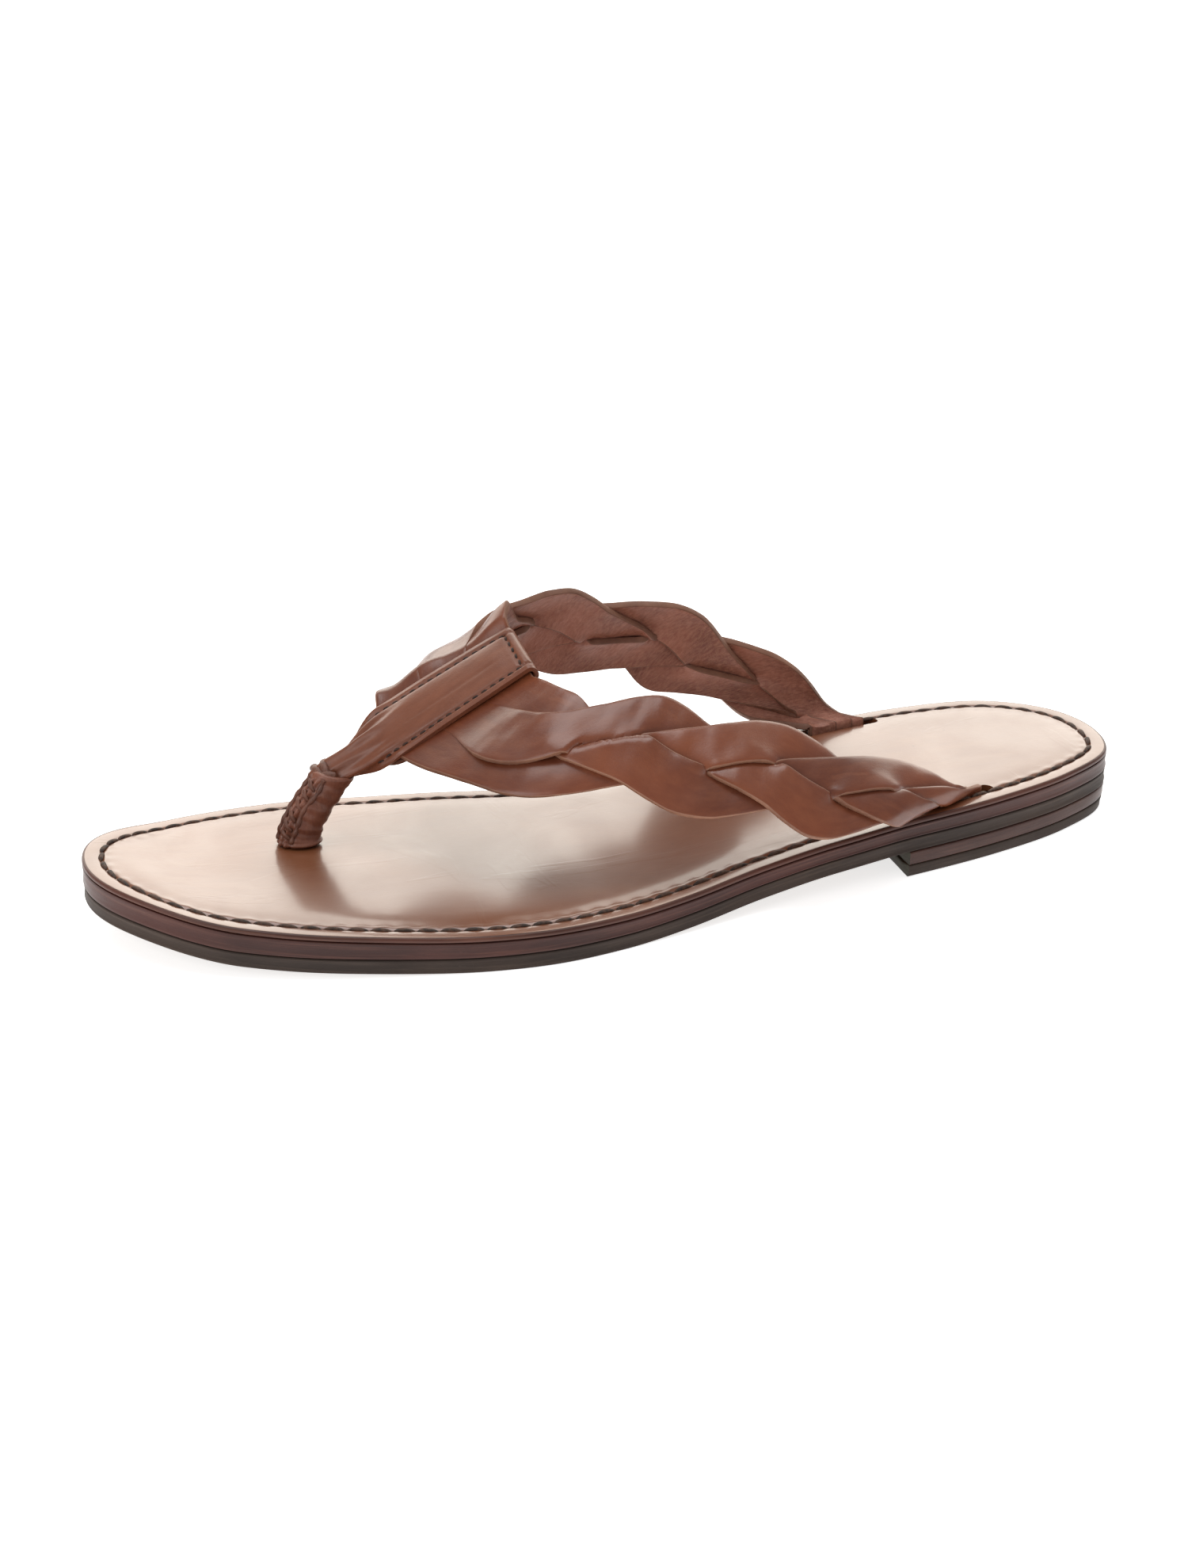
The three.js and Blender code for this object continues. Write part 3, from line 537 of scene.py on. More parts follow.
def between(low, high, t):
    """The surface at share t of the way from one surface to another."""
    return lambda x: low(x) * (1 - t) + high(x) * t


def plain_layer(name, low, high, inset, looks, rounding, waist):
    """A layer with a slightly hollow, rounded edge. looks: edge, underside, top."""
    flat = inset + FLAT_FROM
    corner = ((inset + rounding, 0), (inset + 0.1, rounding * 0.35), (inset, rounding))
    rows = [inner_ring(flat, s, low) for s in FILL] + [ring(flat, low)]
    rows += [ring(at, low, dz) for at, dz in corner]
    for t in (0.2, 0.4, 0.6, 0.8):
        rows.append(ring(inset + waist * math.sin(t * math.pi), between(low, high, t)))
    rows += [ring(at, high, -dz) for at, dz in corner[::-1]]
    rows += [ring(flat, high)] + [inner_ring(flat, s, high) for s in FILL[::-1]]
    first, last = len(FILL) + 1, len(FILL) + 9
    return layer(name, rows, looks, lambda r: 0 if first <= r <= last else (1 if r < first else 2))


def stadium(centre, along, length, width, low, high, around=28):
    """A cutter with rounded ends."""
    a = np.linspace(0, 2 * math.pi, around, endpoint=False)
    across = np.array([-along[1], along[0]])
    half = (length - width) / 2
    flat = (np.sign(np.cos(a)) * half + np.cos(a) * width / 2)[:, None] * along
    flat = centre + flat + (np.sin(a) * width / 2)[:, None] * across
    rows = [np.column_stack([flat, np.full(around, z)]) for z in (low, high)]
    return skin("cutter", rows, [], mapped=False)


SLOT_ROOM, SLOT_WIDTH, POST_HOLE = 5.0, 4.0, (8.6, 5.6)
openings = []
for strap in STRAPS.values():
    a, b = (np.array(strap[edge][-1][:2], float) for edge in ("upper", "lower"))
    openings.append(((a + b) / 2, unit(b - a), np.linalg.norm(b - a) + SLOT_ROOM, SLOT_WIDTH))
openings.append((POST_AT, np.array([1.0, 0.0]), *POST_HOLE))


def open_up(ob, low, high):
    """Cuts the strap slots and the hole of the post through a layer, between two heights."""
    cutters = [stadium(c, d, l, w, low, high) for c, d, l, w in openings]
    cut(ob, cutters)
    for c in cutters:
        bpy.data.objects.remove(c)
    ob.data.set_sharp_from_angle(angle=math.radians(38))
    return ob


outsole = plain_layer("outsole_rubber", bottom_z, outsole_top, 0.15,
                      [outsole_edge, outsole_under, outsole_edge], rounding=0.45, waist=0.15)
finished(outsole, "outsole")

midsole = plain_layer("midsole_leather", lambda x: outsole_top(x) + GAP, midsole_top, 0.0,
                      [midsole_edge] * 3, rounding=0.4, waist=0.16)
finished(open_up(midsole, low=9.0, high=40.0), "midsole")

pad = plain_layer("cushion_foam", lambda x: midsole_top(x) + GAP * 0.1,
                  lambda x: midsole_top(x) + GAP * 0.8, PAD_INSET, [foam_look] * 3,
                  rounding=0.04, waist=0.0)
finished(pad, "cushion_pad")

# The sock's section, as insets from the outline and heights over the top of the sole: its cut side,
# a border, and the stitched groove.
SOCK_SIDE = ((0.4, -SOCK), (0.12, -1.2), (0, -1.0), (0, -0.7), (0.1, -0.38), (0.32, -0.14))
SOCK_BORDER = ((0.7, -0.03), (1.2, 0.0), (2.4, 0.03), (3.5, 0.0), (3.9, -0.06), (4.15, -0.22))
SOCK_GROOVE = ((4.4, -0.42), (4.75, -0.42), (5.0, -0.2))
# The ridge behind the groove and the padded field. The last two numbers of a row are how far it moves
# in and up between two stitches.
SOCK_FIELD = ((5.3, 0.02, 0.1, 0.1), (5.75, 0.12, 0.25, 0.16), (6.3, 0.14, 0.2, 0.1),
              (7.2, 0.22, 0.1, 0.03), (8.6, 0.4, 0, 0), (10.5, 0.52, 0, 0), (13, 0.56, 0, 0))
SOCK_UNDER = 6  # inset where the rows of its flat lower face begin
THREAD_LINE = (4.55, -0.3)  # the thread's inset and height in the groove


def footbed_sock():
    scallop = 0.5 + 0.5 * np.cos(2 * math.pi * loop_run / STITCH_PITCH)
    rows = [inner_ring(SOCK_UNDER, s, sole_top, -SOCK) for s in FILL] + [ring(SOCK_UNDER, sole_top, -SOCK)]
    for inset, dz in SOCK_SIDE + SOCK_BORDER + SOCK_GROOVE:
        rows.append(ring(inset, sole_top, dz))
    for inset, dz, wave, rise in SOCK_FIELD:
        rows.append(ring(inset + wave * scallop, sole_top, dz + rise * scallop))
    inset, dz = SOCK_FIELD[-1][:2]
    rows += [inner_ring(inset, s, sole_top, dz) for s in FILL[::-1]]
    first, last = len(FILL) + 1, len(FILL) + len(SOCK_SIDE)
    return layer("footbed_sock", rows, [footbed_look(), sock_edge],
                 lambda r: 1 if first <= r <= last else 0)


finished(open_up(footbed_sock(), low=-5.0, high=60.0), "sock")


def stitches(run_points, normal, pitch, gap, radius, sink):
    """Tubes of a seam: one short thread per pitch, a little slanted, its ends dipping into the
    leather."""
    run = run_of(run_points)
    out = []
    count = int(round(run[-1] / pitch))
    for i in range(count):
        t = np.linspace(0, 1, 9)
        at = (i + gap + t * (1 - 2 * gap)) * run[-1] / count
        p, n = values_at(at, run, run_points), values_at(at, run, normal)
        swell = 1 - np.abs(2 * t - 1) ** 3.0
        side = unit(np.cross(np.gradient(p, axis=0), n))
        slant = (t - 0.5)[:, None] * side * radius * rng.uniform(0.5, 1.1)
        p = p + n * (sink * (swell - 0.55))[:, None] + slant + side * rng.normal(0, radius * 0.08)
        out.append(tube(p, radius * (0.45 + 0.55 * swell), 8, 0.8, n[4]))
    return out


groove = ring(THREAD_LINE[0], sole_top, THREAD_LINE[1])
groove = np.concatenate([groove, groove[:1]])
straight_up = np.tile([0, 0, 1.0], (len(groove), 1))
many_tubes("footbed_stitches",
           stitches(groove, straight_up, STITCH_PITCH, gap=0.02, radius=0.64, sink=0.6),
           sole_thread, "sock_stitching")

# Rows of a heel layer's side: share of its height, and how far the row lies behind the edge.
HEEL_ROWS = ((0, 0.3), (0.06, 0.1), (0.14, 0), (0.5, 0.1), (0.86, 0), (0.94, 0.1), (1, 0.3))
BREAST_HOLLOW, BREAST_RAKE, BREAST_POINTS = 1.3, 0.6, 26


def heel_layer(name, low, high, inset_low, inset_high, looks):
    """A layer of the heel: the outline behind the breast, and a slightly hollow breast.
    looks: side, breast, the two flat faces."""
    keep = np.where(loop[:, 0] < BREAST_X)[0]
    order = np.concatenate([keep[keep > len(loop) // 2], keep[keep <= len(loop) // 2]])
    rows = []
    for t, extra in HEEL_ROWS:
        inset = inset_low * (1 - t) + inset_high * t + extra
        xy = (loop + inwards * inset)[order]
        y = np.linspace(xy[-1, 1], xy[0, 1], BREAST_POINTS)[1:-1]
        bow = 1 - (2 * (y - y.mean()) / (y.max() - y.min())) ** 2
        breast = np.stack([BREAST_X - extra - BREAST_HOLLOW * bow - (1 - t) * BREAST_RAKE, y], 1)
        xy = np.concatenate([xy, breast])
        rows.append(np.column_stack([xy, low * (1 - t) + high(xy[:, 0]) * t]))
    side = len(order) - 1
    face_look = ([0] * side + [1] * (len(rows[0]) - side)) * (len(rows) - 1) + [2, 2]
    return skin(name, rows, looks, face_look, sharp=50)


lift = heel_layer("heel_lift_stack", TOP_PIECE + GAP, lambda x: bottom_z(x) - GAP, 0.45, 0.2,
                  [lift_edge, breast_look, lift_edge])
finished(lift, "heel_lift")
top_piece = heel_layer("heel_top_rubber", 0.0, lambda x: np.full_like(x, TOP_PIECE), 1.0, 0.5,
                       [outsole_edge, breast_look, outsole_under])
finished(top_piece, "heel_top_piece")


# ---- braided straps
def bar_mid_point(share, sideways):
    """A point of the toe bar's middle plane, as in the CAD."""
    tilt = BAR_TILT[0] + (BAR_TILT[1] - BAR_TILT[0]) * share
    across = unit(np.array([0, 1, tilt]))
    return BAR_MID[0] * (1 - share) + BAR_MID[1] * share + across * sideways


def bar_axes(u):
    """Along, across and upward normal of the bar's leather at share u."""
    along = unit(BAR_NOSE - BAR_THROAT)
    tilt = BAR_TILT[0] - NOSE_TILT * min(max(u, 0), 1)
    across = np.array([0, 1, tilt])
    across = unit(across - along * across.dot(along))
    normal = np.cross(along, across)
    return along, across, normal if normal[2] > 0 else -normal


def bar_half_width(share):
    g = smooth(share, BAR_GATHERS, 1)
    return BAR_HALVES[0] * (1 - g) + BAR_HALVES[1] * g


NS, NT = 280, 76  # stations along a strap, and places across it where the strands' heights are found
S = np.linspace(0, 1, NS)
ACROSS = np.linspace(-0.56, 0.56, NT)
COLUMNS = np.linspace(-1, 1, 17)  # points across a strand, as shares of its half width
ROOT_CLEAR = 0.4  # from the bar's edge to the start of a strap's edges
ROOT_SINK = 0.3  # of the strap's root, under the edge of the toe bar
# Shares of a strap's length between which something comes or goes.
EARLY_GOES = (0.18, 0.36)
SWAY_COMES = (0.02, 0.26)
BIAS_COMES, BIAS_GOES = (0.04, 0.34), (0.85, 1)
MIDDLE_WIDENS, SIDES_WIDEN = (0, 0.13), (0.02, 0.24)
FULLER_COMES, FULLER_GOES = (0, 0.1), (0.26, 0.42)
THICKNESS_COUNTS = (0.05, 0.12)
LIFT_COMES, LIFT_GOES = (-0.012, 0.03), (0.08, 0.24)
SINK_GOES, SLOT_CALMS = (0.01, 0.09), (0.955, 1)
# For each strand: share of the strap's "drawn", where it is drawn most and over what length.
DRAWN = ((-0.45, 0.15, 0.09), (-0.75, 0.12, 0.06), (1.0, 0.25, 0.1))
EDGE_ALONE = 0.12  # of a strand's edge that doesn't press on its neighbours
STRANDS_APART = 0.2  # air between crossing strands
RELAXING = 0.9985  # how much of its height a strand keeps each time it is smoothed
ROUNDS, QUICK_ROUNDS = 420, 120
STRAND_CROWN, STRAP_CROWN = 0.34, 0.045  # of a strand in millimetres, of the strap over its width
FREE_ROUND, SLIT_ROUND = 0.32, 0.015  # rounding of a free cut edge, and of one in an uncut root
SLIT_OPENS = 0.04  # share of the length over which a slit's edges round off
CORNER = 0.29  # how far a rounded corner is cut off half-way round
INTO_BAR = (5.0, 3.0, 1.2)  # rows of the root inside the bar
INTO_SLOT = (0.8, 1.8, 3.2, 4.6)  # rows of the strap inside its slot
GRAIN_SHIFT = 60.0  # between the leather grain of two strands


def strap_frame(strap):
    """Middle, across, outward normal and width at each station of a strap."""
    edges = []
    for key, share in zip(("upper", "lower"), strap["root"]):
        sideways = bar_half_width(min(share, strap["gather"])) + ROOT_CLEAR
        root = bar_mid_point(share, strap["side"] * sideways)
        edges.append(spline([tuple(root)] + strap[key])(S))
    upper, lower = edges
    middle = (upper + lower) / 2
    forward = unit(np.gradient(middle, axis=0))
    across = upper - lower
    width = np.linalg.norm(across, axis=1)
    across = across / width[:, None]
    normal = unit(np.cross(forward, across) * strap["side"])
    return middle, across, normal, width


def strand_lines(strap, width):
    """Offset across and half width of the three strands: middle, throat side, other side."""
    first, step, tighten = strap["peak"]
    sixths = (step - np.sqrt(step**2 - 4 * tighten * (S - first))) / (2 * tighten)
    sixths = sixths + strap["early"] * (1 - smooth(S, *EARLY_GOES))
    sway = smooth(S, *SWAY_COMES)
    reach = BRAID_REACH / (1 + BRAID_STRAIGHTNESS) * width
    bias = strap["bias"] * width * smooth(S, *BIAS_COMES) * (1 - smooth(S, *BIAS_GOES))
    offsets, halves = [], []
    for k, root in enumerate((0, 1, -1)):
        a = math.pi / 2 + sixths * math.pi / 3 + k * 2 * math.pi / 3
        wave = np.sin(a) - BRAID_STRAIGHTNESS * np.sin(3 * a)
        share, at, spread = DRAWN[k]
        drawn = strap["drawn"] * share * ridge(S, at, spread)
        offsets.append(root * width / 3 * (1 - sway) + reach * wave * sway + bias + drawn)
        wide = smooth(S, *(MIDDLE_WIDENS if k == 0 else SIDES_WIDEN))
        fuller = strap["fuller"] * (k == 0) * smooth(S, *FULLER_COMES) * (1 - smooth(S, *FULLER_GOES))
        halves.append((width / 3 * (1 - wide) + STRAND_SHARE * width * wide) / 2 * (1 + fuller))
    return np.array(offsets), np.array(halves)


def braid_heights(offsets, halves, width, apart_until, rounds):
    """Heights of the strands over the strap's middle surface. Each is a springy strip that lies over
    one neighbour and under the other, with its thickness between them: the middle strand over the
    throat side's, that one over the other side's, and the other side's over the middle one."""
    t = ACROSS[None, :] * width[:, None]
    mask = np.abs(t[None] - offsets[:, :, None]) <= halves[:, :, None] - EDGE_ALONE
    weight = mask.astype(float)
    z = np.zeros(mask.shape)
    apart = (LEATHER + STRANDS_APART) * smooth(S, *THICKNESS_COUNTS)[:, None]
    # Beside the first slit the middle strand, on its way over its neighbour, lies over the other one.
    early = S[:, None] < apart_until
    both = [(0, 1, mask[0] & mask[1]), (1, 2, mask[1] & mask[2]),
            (2, 0, mask[2] & mask[0] & ~early), (0, 2, mask[0] & mask[2] & early)]

    def spread(f):
        out = f.copy()
        out[:, 1:] += f[:, :-1]
        out[:, :-1] += f[:, 1:]
        out[:, :, 1:] += f[:, :, :-1]
        out[:, :, :-1] += f[:, :, 1:]
        return out

    share = spread(weight)
    for turn in range(rounds):
        if turn < rounds - 4:
            z = np.where(mask, spread(z * weight) / np.maximum(share, 1), 0) * RELAXING
        for _ in range(2):
            for a, b, here in both:
                short = np.where(here, np.maximum(apart - (z[a] - z[b]), 0), 0) / 2
                z[a] += short
                z[b] -= short
    return z, mask


def strand_sheet(strap, lines, offset, half, z, mask, phases):
    """The middle surface of a strand: its rows from inside the bar to inside the slot, the station of
    each row, and the unit normals on the outer side."""
    middle, across, normal, width = lines
    run = run_of(middle)
    calm = 1 - 0.55 * smooth(S, *SLOT_CALMS)
    rows = []
    for i, s in enumerate(S):
        t = offset[i] + half[i] * COLUMNS
        f = t / width[i]
        seen = mask[i]
        h = np.interp(f, ACROSS[seen], z[i][seen]) * calm[i] if seen.any() else 0 * COLUMNS
        h = h + STRAND_CROWN * smooth(s, 0.1, 0.3) * (1 - COLUMNS**4)
        h = h + STRAP_CROWN * smooth(s, 0.03, 0.2) * width[i] * (1 - np.clip(2 * f, -1, 1) ** 2)
        h = h - ROOT_SINK * (1 - smooth(s, *SINK_GOES))
        swell = strap["root_lift"] * (0.82 + 0.18 * np.cos(11 * f + 1.2))
        swell = swell * (1 + 0.9 * np.clip(-2 * f, 0, 1))
        h = h + swell * smooth(s, *LIFT_COMES) * (1 - smooth(s, *LIFT_GOES))
        ripple = 0.1 * np.sin(run[i] * 0.31 + phases[0] + 1.3 * COLUMNS)
        ripple = ripple + 0.07 * np.sin(run[i] * 0.73 + phases[1] - 1.1 * COLUMNS)
        ripple = ripple + 0.02 * np.sin(run[i] * 1.7 + phases[2] + 2.2 * COLUMNS)
        h = h + ripple * smooth(s, 0.03, 0.12)
        rows.append(middle[i] + np.outer(t, across[i]) + np.outer(h, normal[i]))
    padded = np.pad(np.array(rows), ((2, 2), (0, 0), (0, 0)), mode="edge")
    sheet = sum(w * padded[j : j + NS] for j, w in enumerate(np.array([1, 2, 3, 2, 1]) / 9))
    into_bar = -strap["side"] * bar_axes(0.5)[1]
    before = sheet[0] + into_bar * np.array(INTO_BAR)[:, None, None]
    after = sheet[-1] - np.array([0, 0, 1.0]) * np.array(INTO_SLOT)[:, None, None]
    sheet = np.concatenate([before, sheet, after])
    station = np.concatenate([[0] * len(INTO_BAR), S, [1] * len(INTO_SLOT)])
    out = unit(np.cross(np.gradient(sheet, axis=1), np.gradient(sheet, axis=0)))
    toward = np.concatenate([[normal[0]] * len(INTO_BAR), normal, [normal[-1]] * len(INTO_SLOT)])
    return sheet, station, out * np.sign((out * toward[:, None]).sum(2).mean())


def strand_section(line, out, half, left, right):
    """One closed row of a strand: outer face, cut edge, inner face, cut edge. left and right are the
    roundings of its edges."""
    thick = LEATHER / 2

    def at(x, off):
        normal = unit(values_at(x, COLUMNS, out))
        return values_at(x, COLUMNS, line) + normal * np.broadcast_to(off, len(x))[:, None]

    def rim(side, r):
        """From the outer to the inner face."""
        x = side * (1 - CORNER * r / half)
        heights = [thick - CORNER * r, thick - r, r - thick, CORNER * r - thick]
        return at(np.array([x, side, side, x]), heights)

    flat = np.interp(COLUMNS, (-1, 1), (-1 + left / half, 1 - right / half))
    return np.concatenate([at(flat, thick), rim(1, right), at(flat[::-1], -thick), rim(-1, left)[::-1]])


def edge_round(station, slit):
    """Rounding of a strand's edge along it: a free edge's, or one that is cut free from slit on."""
    if slit is None:
        return np.full(len(station), FREE_ROUND)
    return SLIT_ROUND + (FREE_ROUND - SLIT_ROUND) * smooth(station, slit, slit + SLIT_OPENS)


def strap_mesh(name, strap):
    """The three strands of a strap in one object."""
    lines = strap_frame(strap)
    width = lines[-1]
    offsets, halves = strand_lines(strap, width)
    rounds = ROUNDS
    z, mask = braid_heights(offsets, halves, width, strap["slit_end"], rounds)
    slit_throat, slit_other = strap["slits"]
    slits = ((slit_other, slit_throat), (slit_throat, None), (None, slit_other))
    flat, rim = len(COLUMNS) - 1, 5
    looks_round = [0] * flat + [1] * rim + [2] * flat + [1] * rim
    parts, looks = [], []
    phases = rng.uniform(0, 2 * math.pi, (3, 6))
    for k in range(3):
        sheet, station, out = strand_sheet(strap, lines, offsets[k], halves[k], z[k], mask[k], phases[k])
        half = np.interp(station, S, halves[k])
        left, right = (edge_round(station, slit) for slit in slits[k])
        parts.append([strand_section(*row) for row in zip(sheet, out, half, left, right)])
        looks += looks_round * (len(sheet) - 1) + [1, 1]
    verts, faces, uvs = joined(parts, GRAIN_SHIFT)
    return piece(name, verts, faces, [strap_outer, strap_rim, strap_inner], looks, uvs, 42)


for side_name, strap in STRAPS.items():
    finished(strap_mesh(f"{side_name}_braid", strap), f"{side_name}_strap")


# ---- toe bar
SEAM_AT, SEAM_V, SEAM_END = 0.016, 0.775, 0.8  # the seam at the throat, at the sides, and where it ends
BAR_ARC = 8.5  # half the width of the leather, measured round the gathers
COVER, POCKET, LINING = 1.2, 2.4, 1.0
TUBE_TO = [np.array([72.0, -17.5, 25.6]), np.array([72.6, -17.5, 23.4]), np.array([73.6, -17.5, 20.8])]
TUBE_SHRINKS = (0.9, 0.78, 0.6)
# Folds of the gathers: height, folds across half the bar, how they wander along it, and phase.
PLEATS = ((0.62, 8.5, 2.0, 0.9), (0.42, 15, 3, 2.1), (0.24, 5, 14, 0))
THROAT_FOLD = (0.75, 0.7)  # how far the folded end stands out, outer and inner face, over its radius
ACROSS_BAR = np.concatenate([np.linspace(-1, -0.7, 12), np.linspace(-0.66, 0.66, 25),
                             np.linspace(0.7, 1, 12)])
ALONG_BAR = np.concatenate([np.linspace(0, 0.07, 20), np.linspace(0.09, 0.6, 34),
                            np.linspace(0.615, 1.0, 40)])


def bar_section(u, v, depth=0.0):
    """A row of points across the bar at share u; v runs from edge to edge, depth is under the top."""
    along, across, normal = bar_axes(u)
    top = BAR_THROAT + (BAR_NOSE - BAR_THROAT) * u
    side = np.abs(v)
    gathered = smooth(u, 0.66, 1.0)
    bend = 0.08 + 0.1 * smooth(u, 0.4, 0.66) + 2.3 * gathered
    radius = (BAR_ARC - 0.9 * gathered) / bend
    pleat = sum(h * np.sin(n * v + wander * u + phase) for h, n, wander, phase in PLEATS)
    pleat = smooth(u, 0.56, 0.9) * pleat
    long_fold = 0.32 * ridge(v, 0.9 * (u - 0.62) - 0.35, 0.12)
    pleat = pleat + long_fold * smooth(u, 0.52, 0.64) * (1 - smooth(u, 0.8, 0.9))
    pleat = pleat + 0.4 * ridge(side, 0.93, 0.07) * smooth(u, 0.6, 0.72)
    crease = -0.16 * ridge(v, 0.12 + 0.1 * u, 0.05) * (1 - gathered) * smooth(u, 0.05, 0.2)
    seam = -0.5 * ridge(side, SEAM_V, 0.055) * (1 - smooth(u, 0.72, 0.85))
    seam = seam - 0.4 * ridge(u, SEAM_AT, 0.012) * (side < 0.8)
    edge = -0.2 * smooth(side, 0.85, 1.0) * (1 - gathered)
    puff = 0.45 * (1 - np.clip(side / 0.75, 0, 1) ** 3) * smooth(u, 0.02, 0.12) * (1 - gathered)
    r = radius - depth + pleat + crease + seam + edge + puff
    centre = top - normal * radius
    return centre + np.outer(np.sin(bend * v) * r, across) + np.outer(np.cos(bend * v) * r, normal)


def sheet_mesh(name, outer, inner, look):
    """A sheet of leather from the rows of its outer and inner face, with rounded edges."""
    rows = []
    for o, n in zip(outer, inner):
        ends = []
        for a, b, push in ((o[-1], n[-1], unit(n[-1] - o[-2])), (n[0], o[0], unit(o[0] - o[1]))):
            ends.append([a * 0.75 + b * 0.25 + push * 0.28, a * 0.25 + b * 0.75 + push * 0.28])
        rows.append(np.concatenate([o, ends[0], n[::-1], ends[1]]))
    return skin(name, rows, [look], sharp=60)


def bar_cover():
    """The cover: folded under at the throat, flat over the roots, gathered into the post."""
    outer, inner = [], []
    along, _, normal = bar_axes(0)
    fold = (COVER + POCKET + LINING) / 2
    for a in np.linspace(math.pi, 0.0, 13)[:-1]:
        out, out_inner = fold * math.sin(a), (fold - COVER) * math.sin(a)
        down, down_inner = fold * (1 - math.cos(a)), fold - (fold - COVER) * math.cos(a)
        outer.append(bar_section(0, ACROSS_BAR) - along * out * THROAT_FOLD[0] - normal * down)
        inner.append(bar_section(0, ACROSS_BAR) - along * out_inner * THROAT_FOLD[1] - normal * down_inner)
    for u in ALONG_BAR:
        outer.append(bar_section(u, ACROSS_BAR))
        inner.append(bar_section(u, ACROSS_BAR, COVER))
    nose = BAR_NOSE - bar_axes(1)[2] * 3.3
    last_outer, last_inner = outer[-1], inner[-1]
    for centre, shrink in zip(TUBE_TO, TUBE_SHRINKS):
        outer.append((last_outer - nose) * shrink + centre)
        inner.append((last_inner - nose) * shrink + centre)
    return sheet_mesh("toe_bar_cover", outer, inner, bar_look)


def bar_lining():
    v = np.linspace(-0.97, 0.97, 30)
    shares = np.linspace(0.03, 0.8, 40)
    top, under = ([bar_section(u, v, depth) for u in shares]
                  for depth in (COVER + POCKET, COVER + POCKET + LINING))
    return sheet_mesh("toe_bar_lining_sheet", top, under, bar_inside)


def bar_seam():
    """Rows of the stitches down one side of the bar, across the throat and up the other side."""
    path = [(u, -SEAM_V) for u in np.linspace(SEAM_END, SEAM_AT, 60)]
    path += [(SEAM_AT, v) for v in np.linspace(-SEAM_V, SEAM_V, 30)[1:-1]]
    path += [(u, SEAM_V) for u in np.linspace(SEAM_AT, SEAM_END, 60)]
    points = np.array([bar_section(u, np.array([v]))[0] for u, v in path])
    normals = np.array([bar_axes(u)[2] for u, _ in path])
    return stitches(points, normals, pitch=2.5, gap=0.16, radius=0.3, sink=0.26)


finished(bar_cover(), "toe_bar")
finished(bar_lining(), "toe_bar_lining")
many_tubes("toe_bar_stitches", bar_seam(), bar_thread, "toe_bar_stitching")

# ---- toe post
POST_STATIONS = [0, 0.3, 0.68, 1]
HEEL_SIDE = [(63.3, -17.4, 26.4), (66.6, -17.5, 21.7), (70.9, -17.5, 15.4), (71.9, -17.6, 11.6)]
TOE_SIDE = [(73.0, -17.4, 29.0), (76.4, -17.5, 24.2), (81.0, -17.5, 17.0), (82.1, -17.6, 12.0)]
POST_ROWS = 70
SHARES = np.linspace(0, 1, POST_ROWS)
AROUND = np.linspace(0, 2 * math.pi, 96, endpoint=False)  # from the toe side
heel_side, toe_side = (spline(points, POST_STATIONS)(SHARES) for points in (HEEL_SIDE, TOE_SIDE))
post_middle = (heel_side + toe_side) / 2
post_front = (toe_side - heel_side) / 2
half_breadth = profile([(0, 4.2), (0.2, 3.7), (0.75, 3.7), (1, 4.1)])
SLEEVE_WALL = 1.1
# The sleeve's seam and its folds: angle, half width and height.
SLEEVE_SEAMS = ((0.30, 0.07, 0.55), (0.62, 0.08, 0.5), (0.46, 0.06, -0.5), (0.84, 0.05, -0.35),
                (0.1, 0.05, -0.35))


def sleeve_ring(i, depth):
    t, front = SHARES[i], post_front[i]
    flare = 0.45 * smooth(t, 0.93, 0.985) + 0.15 * smooth(t, 0.12, 0.0)
    crease = 0.16 * np.sin(26 * t + 2.4 * np.sin(AROUND + 0.6))
    crease = crease + 0.1 * np.sin(47 * t + 3 * np.cos(AROUND)) + 0.07 * np.sin(5 * AROUND + 9 * t)
    crease = crease * smooth(t, 0.05, 0.2) * (1 - smooth(t, 0.88, 0.96))
    seams = sum(height * ridge(AROUND, at, width) for at, width, height in SLEEVE_SEAMS)
    grow = crease + seams * smooth(t, 0.04, 0.12) + flare - depth
    return (post_middle[i] + np.outer(np.cos(AROUND) * (1 + grow / np.linalg.norm(front)), front)
            + np.outer(np.sin(AROUND) * (half_breadth(t) + grow), np.array([0, 1.0, 0])))


def post_sleeve():
    """Rows down the outer face, round the foot and up the inner face to the open rim."""
    outer, inner = ([sleeve_ring(i, depth) for i in range(POST_ROWS)] for depth in (0, SLEEVE_WALL))
    lip_top = (outer[0] + inner[0]) / 2 + np.array([-0.2, 0, 0.5])
    lip_low = (outer[-1] + inner[-1]) / 2 + np.array([0, 0, -0.5])
    rows = [lip_top, outer[0] * 0.85 + lip_top * 0.15] + outer[1:]
    rows += [outer[-1] * 0.4 + lip_low * 0.6, lip_low, inner[-1]]
    rows += inner[::-1][6::8] + [inner[0], lip_top]
    return skin("toe_post_leather", rows, [sleeve_look], capped=False)


finished(post_sleeve(), "toe_post_sleeve")


def on_sleeve(t, angle, lift):
    """A point on the sleeve's surface at share t of its length, and an angle from the toe side."""
    i = np.interp(t, SHARES, np.arange(POST_ROWS))
    lo, w = int(i), i - int(i)
    hi = min(lo + 1, POST_ROWS - 1)
    middle = post_middle[lo] * (1 - w) + post_middle[hi] * w
    front = post_front[lo] * (1 - w) + post_front[hi] * w
    out = front * math.cos(angle) * (1 + lift / np.linalg.norm(front))
    return middle + out + np.array([0, 1.0, 0]) * math.sin(angle) * (half_breadth(t) + lift)


